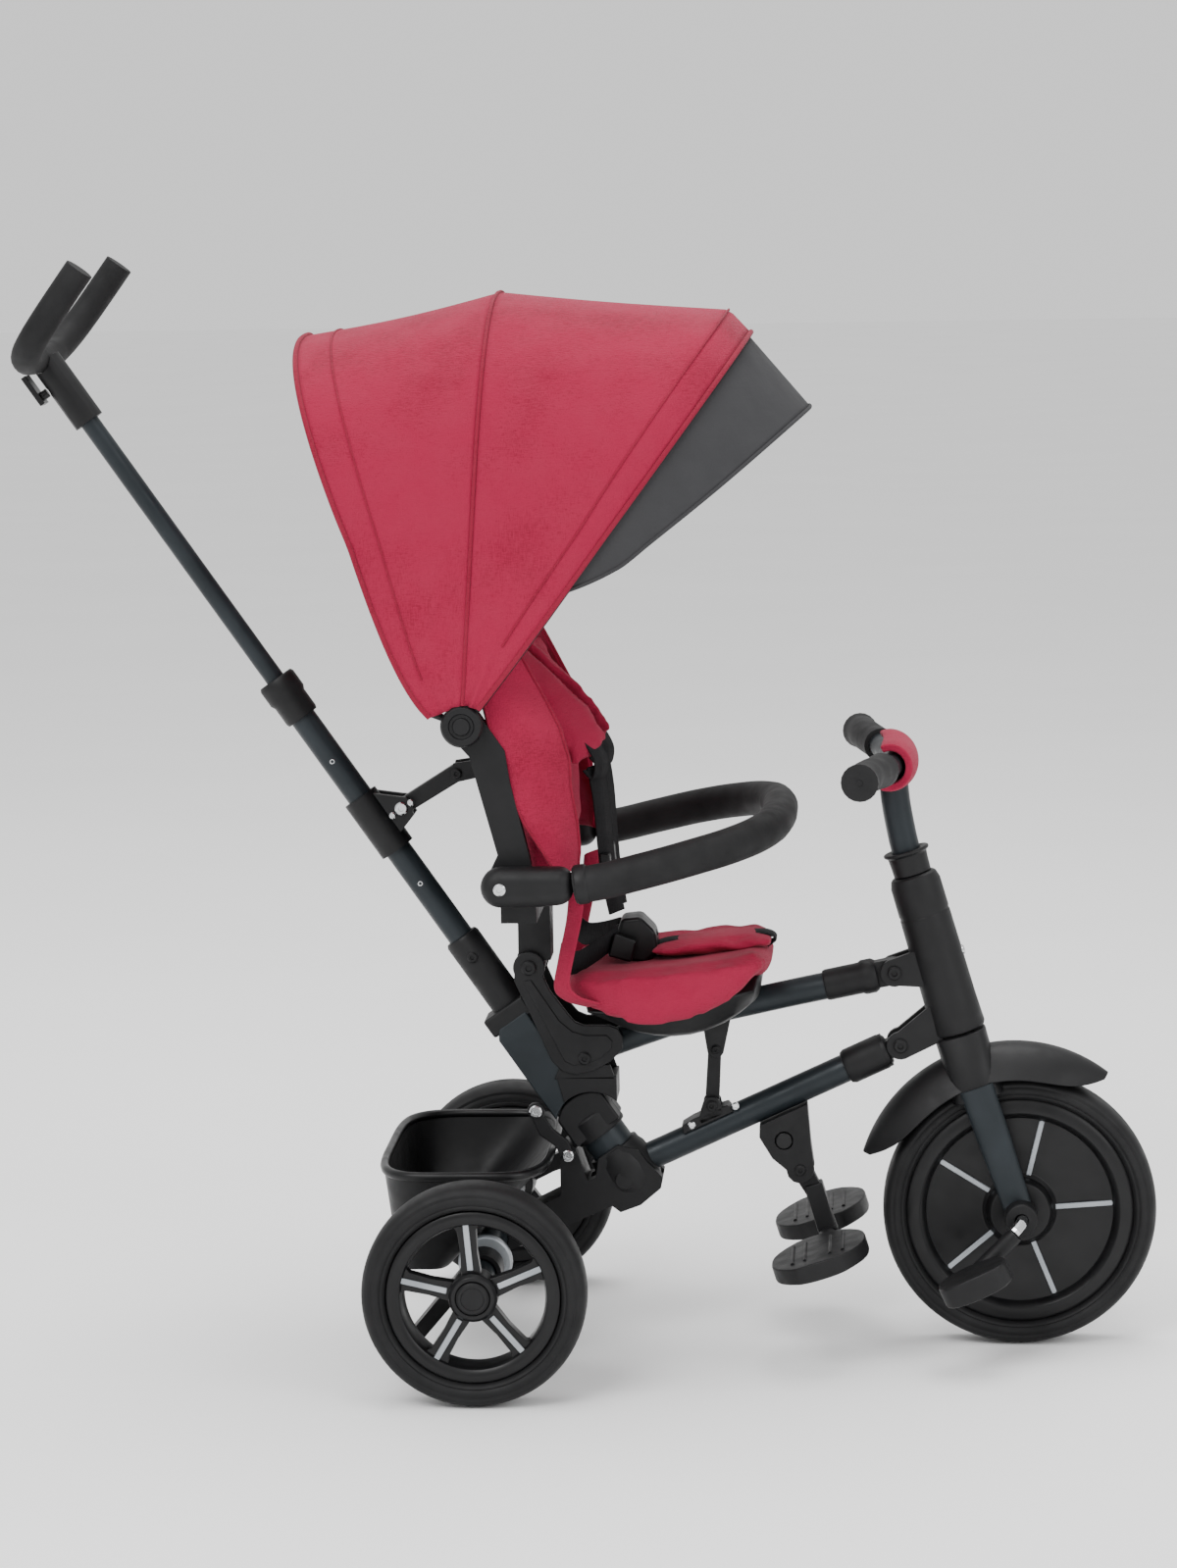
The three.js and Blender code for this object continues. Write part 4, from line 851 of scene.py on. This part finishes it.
def canopy():
    bows = (("rear", "backrest", 163.8), ("mid", "canopy_middle", 167.1), ("front", "canopy_front", 170.4))
    for rib, (word, body, layer) in enumerate(bows):
        ts = [-0.93 + 1.86 * i / 48 for i in range(49)]
        path = [rib_point(rib, t if t else 1e-5, -4.5) for t in ts]
        bm = tube_through(path, 3.2, 3, fine=3)
        for side in (-1, 1):
            turned(bm, [(0, layer), (18, layer), (18, layer + 2.6), (0, layer + 2.6)], at(*HUB), ACROSS * side, 32)
            end = path[0] if side < 0 else path[-1]
            root = at(HUB[0], HUB[1], side * (layer + 1.3))
            strut, length = (end - root).normalized(), (end - root).length / MM
            turned(bm, [(0, 0), (3.4, 0), (3.4, length), (0, length)], root, strut, 8)
        piece(f"bow_{word}", bm, body, MATTE, [f"canopy_{word}_bow"])
    cloth_panel("canopy_cloth_rear", 0, ["canopy_rear_cover"])
    cloth_panel("canopy_cloth_front", 1, ["canopy_front_cover"])
    steps = [i / 60 * 2 * FOOT - FOOT for i in range(61)]

    def seam(name, first, where, body, radius, limit=1.0):
        """A welt over a cover, at where(t); without a body its placement is baked into its mesh, as the cover's is."""
        points = [cover_point(first, where(t), t if t else 1e-5, 2.6) for t in steps if abs(t) <= limit]
        thing = welt(name, points, radius, body)
        if not body:
            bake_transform(thing)

    seam("canopy_seam_middle", 0, lambda t: 1.0, "canopy_middle", 1.6)
    seam("canopy_stitch_rear", 0, lambda t: 0.16 + 0.14 * abs(t), None, 0.9, limit=0.86)
    seam("canopy_stitch_front", 1, lambda t: 0.868 - 0.3 * abs(t) ** 2.2 - 0.18 * abs(t) ** 6, None, 0.9, limit=0.81)
    seam("canopy_edge_rear", 0, lambda t: 0.0, "backrest", 2.4)
    seam("canopy_edge_front", 1, lambda t: 1.0, "canopy_front", 2.4)

    def visor(u, v):
        t = math.copysign(max(abs(v) * 0.64, 1e-5), v if v else 1)
        k = (u + 1) / 2
        outer = bow_point(41.2 + 1.5 * abs(v), 412, COVER_HALF - 3, t, 0.0)
        return rib_point(2, t, -1.0).lerp(outer, k * (1 - abs(v) ** 7))

    thing = piece("visor_cloth", sheet_of(16, 100, visor), "canopy_front", MELANGE, ["canopy_visor"],
                  thickness=1.4)
    rim = [visor(1, v / 40) for v in range(-40, 41) if v]
    welt("visor_edge", rim, 1.8, "canopy_front", MELANGE)


canopy()

# ---- safety ring
def ring():
    half = [(92, 180, 461), (112, 181, 464), (150, 180, 473), (195, 171, 484), (235, 146, 493), (260, 105, 499),
            (270, 52, 502)]
    path = [at(x, z, y) for x, y, z in half] + [at(272, 503)] + [at(x, z, -y) for x, y, z in reversed(half)]
    bm = tube_through(path, 16.5, 10, fine=12)
    piece("ring_foam", bm, "ring", FOAM, ["safety_bar"], bevel=2)
    for word, side in SIDES:
        y0, y1 = side * 163.6, side * 196.4
        outline = [*arc(*ARM_PIN, 18, 90, 270, 24), (60, 442.5), (91, 445), (91, 478), (60, 478)]
        bm = slab(bmesh.new(), outline, y0, y1)
        piece(f"arm_{word}", bm, "armrests", MATTE, [f"armrest_{word}"], bevel=13, segments=6, angle=50)
        screw(f"arm_screw_{word}", at(*ARM_PIN, side * 196.2), side, "armrests", 5.5, STEEL)
        cuff = bmesh.new()
        turned(cuff, [(9, -4), (17.5, -4), (18, -2), (18, 5), (17, 7), (9, 7), (9, -4)], at(97, 462, side * 180),
               (1, 0, 0.15), 40)
        piece(f"ring_cuff_{word}", cuff, "ring", MATTE, bevel=0.8)


ring()

# ---- seat
def seat():
    path = [at(*UPPER_REAR_PIN), at(130, 290), at(190, 309.5), at(260, 326), at(334, 341.5)]
    bm = tube_through(path, 12.8, 8, fine=10)
    piece("upper_frame_tube", bm, "seat_frame", TUBE, ["upper_tube"], bevel=1)
    sleeve = turned(bmesh.new(), [(0, 0), (13.8, 0), (14.6, 3), (14.6, 34), (16.2, 37), (16.2, 46), (14, 50), (0, 50)],
                    at(312, 337.4), (0.979, 0, 0.205), 32)
    slab(sleeve, [*arc(*UPPER_FRONT_PIN, 12.4, 100, -80, 14), (352, 334), (349, 358)], -8.2, 8.2)
    piece("upper_tube_sleeve", sleeve, "seat_frame", MATTE, ["upper_sleeve"], bevel=1.0)

    def shell(u, v, w):
        x = 172 + u * 86 * (1 - 0.10 * v * v)
        top = 356 + (x - 80) * 0.13 - 16 * abs(v) ** 3
        bottom = 338 + (x - 170) * 0.12 - 44 * max(0, 1 - ((x - 184) / 92) ** 2) * (1 - 0.35 * v * v)
        level = bottom if w < 0 else top - 14
        narrow = 1 - 0.2 * abs(u) ** 3 - (0.12 if w < 0 else 0)
        return at(x - (6 * u * abs(u) if w < 0 else 0), level, v * 108 * narrow)

    bm = block_of(9, shell)
    piece("seat_pan", bm, "seat_frame", MATTE, ["seat_base"], bevel=3, angle=50)

    def cushion(u, v, w):
        x = 169 + u * 99 * (1 - 0.09 * abs(v) ** 4)
        rise = 360 + (x - 75) * 0.10 + 0.9 * math.sin(x * 0.13 + v * 3) * math.cos(v * 5)
        dish = 7 * (1 - v * v) * (1 - u * u)
        top = rise - dish + 5 * abs(v) ** 2 * (1 - max(0, abs(v) - 0.8) * 4)
        apron = 322 + 0.0038 * (x - 152) ** 2
        bottom = (rise - 22) * (1 - abs(v) ** 3) + min(apron, top - 8) * abs(v) ** 3
        quilt = 1.6 * math.exp(-((abs(v) - 0.72) / 0.04) ** 2)
        edge = 1 - 0.09 * abs(w) ** 2 * abs(u) ** 6
        level = top - quilt if w > 0.99 else bottom + (top - bottom) * (w + 1) / 2
        flare = 1 - 0.16 * abs(u) ** 3 - 0.05 * (1 - w) / 2
        return at(x * edge + 169 * (1 - edge), level, v * 123 * flare)

    thing = piece("seat_pad", block_of(17, cushion), "seat_frame", CRIMSON, ["seat_cushion"], smooth=1)
    plump(thing, 4)

    def tongue(u, v, w):
        x = 208 + u * 56
        swell = 5.5 * (1 - 0.5 * abs(v) ** 4) * (1 - 0.35 * abs(u) ** 6)
        rise = 374 + (x - 150) * 0.085 + 0.8 * math.sin(x * 0.21)
        return at(x, rise + w * swell, v * 39 * (1 - 0.16 * abs(u) ** 4))

    for word, side in SIDES:
        rise = [at(104, 338, side * 108), at(84, 345, side * 113), at(74, 358, side * 116), at(79, 388, side * 118),
                at(86, 420, side * 118), at(89, 448, side * 118)]
        flap = piece(f"seat_flap_{word}", ribbon(rise, (0.86, 0.5 * side, 0.25), 19), "seat_frame", CRIMSON,
                     thickness=3, smooth=1)
    thing = piece("crotch_cover", block_of(11, tongue), "seat_frame", CRIMSON, ["crotch_pad"], smooth=1)
    plump(thing, 3)


seat()

# ---- head and steering
LEAN = math.radians(16)
HEAD_WAY = Vector((-math.sin(LEAN), 0, math.cos(LEAN)))


def on_head(h, y=0.0, ahead=0.0):
    """A place h millimetres up the leaning steering axis, to the left and ahead of it."""
    return at(436.6 - h * math.sin(LEAN) + ahead * math.cos(LEAN), 295 + h * math.cos(LEAN) + ahead * math.sin(LEAN),
              y)


def head():
    profile = [(15, 0), (24, 0), (25.5, 3), (24.6, 30), (23.8, 113), (23.2, 114), (23.2, 115.5), (23.8, 117),
               (23.6, 144), (21.5, 151), (19, 153), (15, 153), (15, 0)]
    bm = turned(bmesh.new(), profile, on_head(0), HEAD_WAY, 64)
    for pin, root in ((UPPER_FRONT_PIN, 66), (LOWER_FRONT_PIN, 14)):
        upper, lower = flat(on_head(root + 19, 0, -16)), flat(on_head(root - 17, 0, -16))
        for side in (-1, 1):
            slab(bm, [*arc(*pin, 13, 100, 290, 12), lower, upper], side * 8.8, side * 15)
    piece("head_casing", bm, "head", MATTE, ["head_tube"], bevel=2.0, segments=3, angle=30)
    for number, pin in enumerate((UPPER_FRONT_PIN, LOWER_FRONT_PIN)):
        screw(f"head_screw_{number}", at(*pin, -15), -1, "head", 6.5)
    screw("head_front_screw", on_head(72, 0, 23), 1, "head", 4.5, STEEL, (0.96, 0, 0.28))


def steering():
    collar = turned(bmesh.new(), [(13, 153.5), (17.5, 153.5), (18, 166), (18.5, 172), (21.5, 174), (21.5, 176.5),
                                  (19, 177), (13, 176), (13, 153.5)], on_head(0), HEAD_WAY, 48)
    piece("stem_collar", collar, "steering", MATTE, bevel=0.8)
    stem = tube_through([on_head(120), on_head(172), at(382.5, 490), at(378, 520), at(377, 547)], 13.4, 8)
    piece("stem", stem, "steering", TUBE)
    bar = [(348, -184, 553), (353, -150, 553), (366, -90, 551), (375, -40, 549), (377, 0, 549), (375, 40, 549),
           (366, 90, 551), (353, 150, 553), (348, 184, 553)]
    piece("bar_tube", tube_through([at(x, z, y) for x, y, z in bar], 11.5, 8), "steering", TUBE, ["handlebar"])
    for word, side in SIDES:
        grip = [(346, 193, 553), (348, 181, 553), (353, 150, 553), (361, 115, 551.7), (366, 92, 551)]
        path = [at(x, z, side * y) for x, y, z in grip]
        bm = tube_through(path, 15.2, 8, [1.12, 1.02, 1.0, 1.0, 1.06], 8)
        piece(f"grip_sleeve_{word}", bm, "steering", FOAM, [f"grip_{word}"], bevel=3, segments=3, angle=60)
        way = (path[0] - path[1]).normalized()
        end = turned(bmesh.new(), [(0, -1), (2.6, -1), (2.6, 0.8), (0, 0.8)], path[0], way, 16)
        piece(f"grip_plug_{word}", end, "steering", GLOSS)

    def wrap(u, v):
        a = math.radians(-150 + (u + 1) / 2 * 262)
        y = v * 58
        centre = (376 - 4 * v * v, 549)
        swell = 24.5 - 2.5 * abs(v) ** 4 - 1.5 * abs(u) ** 6
        return at(centre[0] + swell * math.cos(a), centre[1] + swell * math.sin(a), y)

    thing = piece("bar_wrap", sheet_of(40, 16, wrap), "steering", CRIMSON, ["handlebar_pad"],
                  thickness=7, bevel=2.5, segments=3, angle=50)


def fork():
    def crown(u, v, w):
        t = (w + 1) / 2
        depth, wide = 27 - 2.5 * t - 5 * t * (1 - t), 42 - 18 * t ** 1.4
        round_off = 1 - 0.2 * (u * v) ** 2
        return on_head(-62 + 60 * t, v * wide * round_off, u * depth * round_off)

    bm = block_of(7, crown)
    piece("fork_crown", bm, "steering", MATTE, bevel=2.0, angle=50)
    hub = centre_of("front_tyre")
    for word, side in SIDES:
        top = on_head(-50, side * 36, 1)
        foot = hub + ACROSS * (side * 37 * MM)
        leg = tube_through([top, top.lerp(foot, 0.35), top.lerp(foot, 0.7), foot], 13.5, 8, [1.2, 1.15, 1.05, 0.95])
        flatness = 0.45
        for vert in leg.verts:
            vert.co.y = foot.y + (vert.co.y - foot.y) * flatness
        piece(f"fork_blade_{word}", leg, "steering", TUBE, ["fork"] if side < 0 else [])
        boss = turned(bmesh.new(), [(6.2, -8), (13, -8), (15.5, -4), (15.5, 22), (14, 24), (6.2, 24), (6.2, -8)],
                      foot, ACROSS * side, 40)
        piece(f"crank_boss_{word}", boss, "steering", MATTE, bevel=0.8)


def mudguard():
    hub, radius = wheel_of("front_tyre")

    rear, front = 160, 57

    def shape(u, v):
        a = math.radians(rear + (front - rear) * (u + 1) / 2)
        point = 1 - 0.78 * abs(u) ** 6
        droop = 30 * abs(v) ** 2.3 * point + (6 * u * u if u > 0 else 3 * u * u)
        r = (radius + 31 - droop) * MM
        return hub + Vector((r * math.cos(a), v * 38 * point * MM, r * math.sin(a)))

    piece("front_mudguard", sheet_of(64, 24, shape), "steering", MATTE, ["mudguard"], thickness=2.6,
          bevel=0.6, angle=60)


head()
steering()
fork()
mudguard()

# ---- crank and pedals
def cranks():
    frame["nodes"]["crank"].material_slots[0].material = STEEL
    hub = centre_of("crank")
    for word, side in SIDES:
        centre = centre_of(f"pedal_{word}")
        tilt = Matrix.Rotation(-0.42, 3, "Y")

        def block(u, v, w, centre=centre, tilt=tilt):
            return centre + tilt @ Vector((u * 33 * (1 - 0.22 * abs(v) ** 3) * MM,
                                           v * 26 * (1 - 0.2 * abs(u) ** 3) * MM,
                                           w * 11 * (1 - 0.12 * u * u) * MM))

        arm_y = side * 88 * MM
        foot = Vector((centre.x, arm_y, centre.z))
        root = hub + ACROSS * (arm_y - hub.y)
        way = (foot - root).normalized()
        length = (foot - root).length / MM
        cover = turned(bmesh.new(), [(5.7, 9), (7.5, 9), (8, 13), (8, length - 2), (5.7, length), (5.7, 9)],
                       root, way, 20)
        piece(f"crank_cover_{word}", cover, "crank", MATTE)
        piece(f"pedal_block_{word}", block_of(7, block), f"pedal_{word}", MATTE, [f"pedal_{word}"],
              bevel=2.5, angle=40)


cranks()

# ---- floor, light and camera
def studio():
    floor = bmesh.new()
    bmesh.ops.create_grid(floor, x_segments=1, y_segments=1, size=30)
    mesh = bpy.data.meshes.new("floor")
    floor.to_mesh(mesh)
    floor.free()
    ground = shown("floor", mesh)
    material, nodes, links, shader = graph("pale floor")
    links.new(spread(nodes, links, noise(nodes, links, 2), (0.94, 0.94, 0.94), (0.96, 0.96, 0.96)),
              shader.inputs["Base Color"])
    shader.inputs["Roughness"].default_value = 0.9
    mesh.materials.append(material)
    ground.location.z = -0.0005

    world = bpy.data.worlds.new("studio")
    bpy.context.scene.world = world
    world.use_nodes = True
    background = world.node_tree.nodes["Background"]
    background.inputs["Color"].default_value = (1, 1, 1, 1)
    background.inputs["Strength"].default_value = 1.0

    for name, place, size, power in (("key", (-1.6, -3.0, 3.6), 2.2, 130), ("fill", (2.8, -2.4, 2.0), 2.0, 45),
                                     ("top", (0.2, 0.6, 4.2), 2.6, 120)):
        lamp = bpy.data.lights.new(name, "AREA")
        lamp.size = size
        lamp.energy = power
        holder = shown(name, lamp)
        holder.location = place
        holder.rotation_euler = (Vector((0, 0, 0.5)) - Vector(place)).to_track_quat("-Z", "Y").to_euler()


def camera():
    """The viewing angle: a long lens, a little ahead of square and a little above."""
    turn, tip, roll = 0.0627391, 0.1330239, -0.0151914
    focal, tall, sensor = 4598.57, 1599, 36  # the first two in pixels, the last in millimetres
    back = Vector((math.sin(turn) * math.cos(tip), -math.cos(turn) * math.cos(tip), math.sin(tip)))
    right = Vector((math.cos(turn), math.sin(turn), 0))
    up = back.cross(right)
    right, up = (right * math.cos(roll) + up * math.sin(roll), up * math.cos(roll) - right * math.sin(roll))
    data = bpy.data.cameras.new("view")
    data.sensor_fit = "AUTO"
    data.sensor_width = sensor
    data.lens = sensor * focal / tall
    data.clip_end = 100
    holder = shown("view", data)
    facing = Matrix((right, up, back)).transposed().to_4x4()
    holder.matrix_world = Matrix.Translation(at(354.74, 1083.69, -4143.64)) @ facing
    bpy.context.scene.camera = holder


studio()
camera()
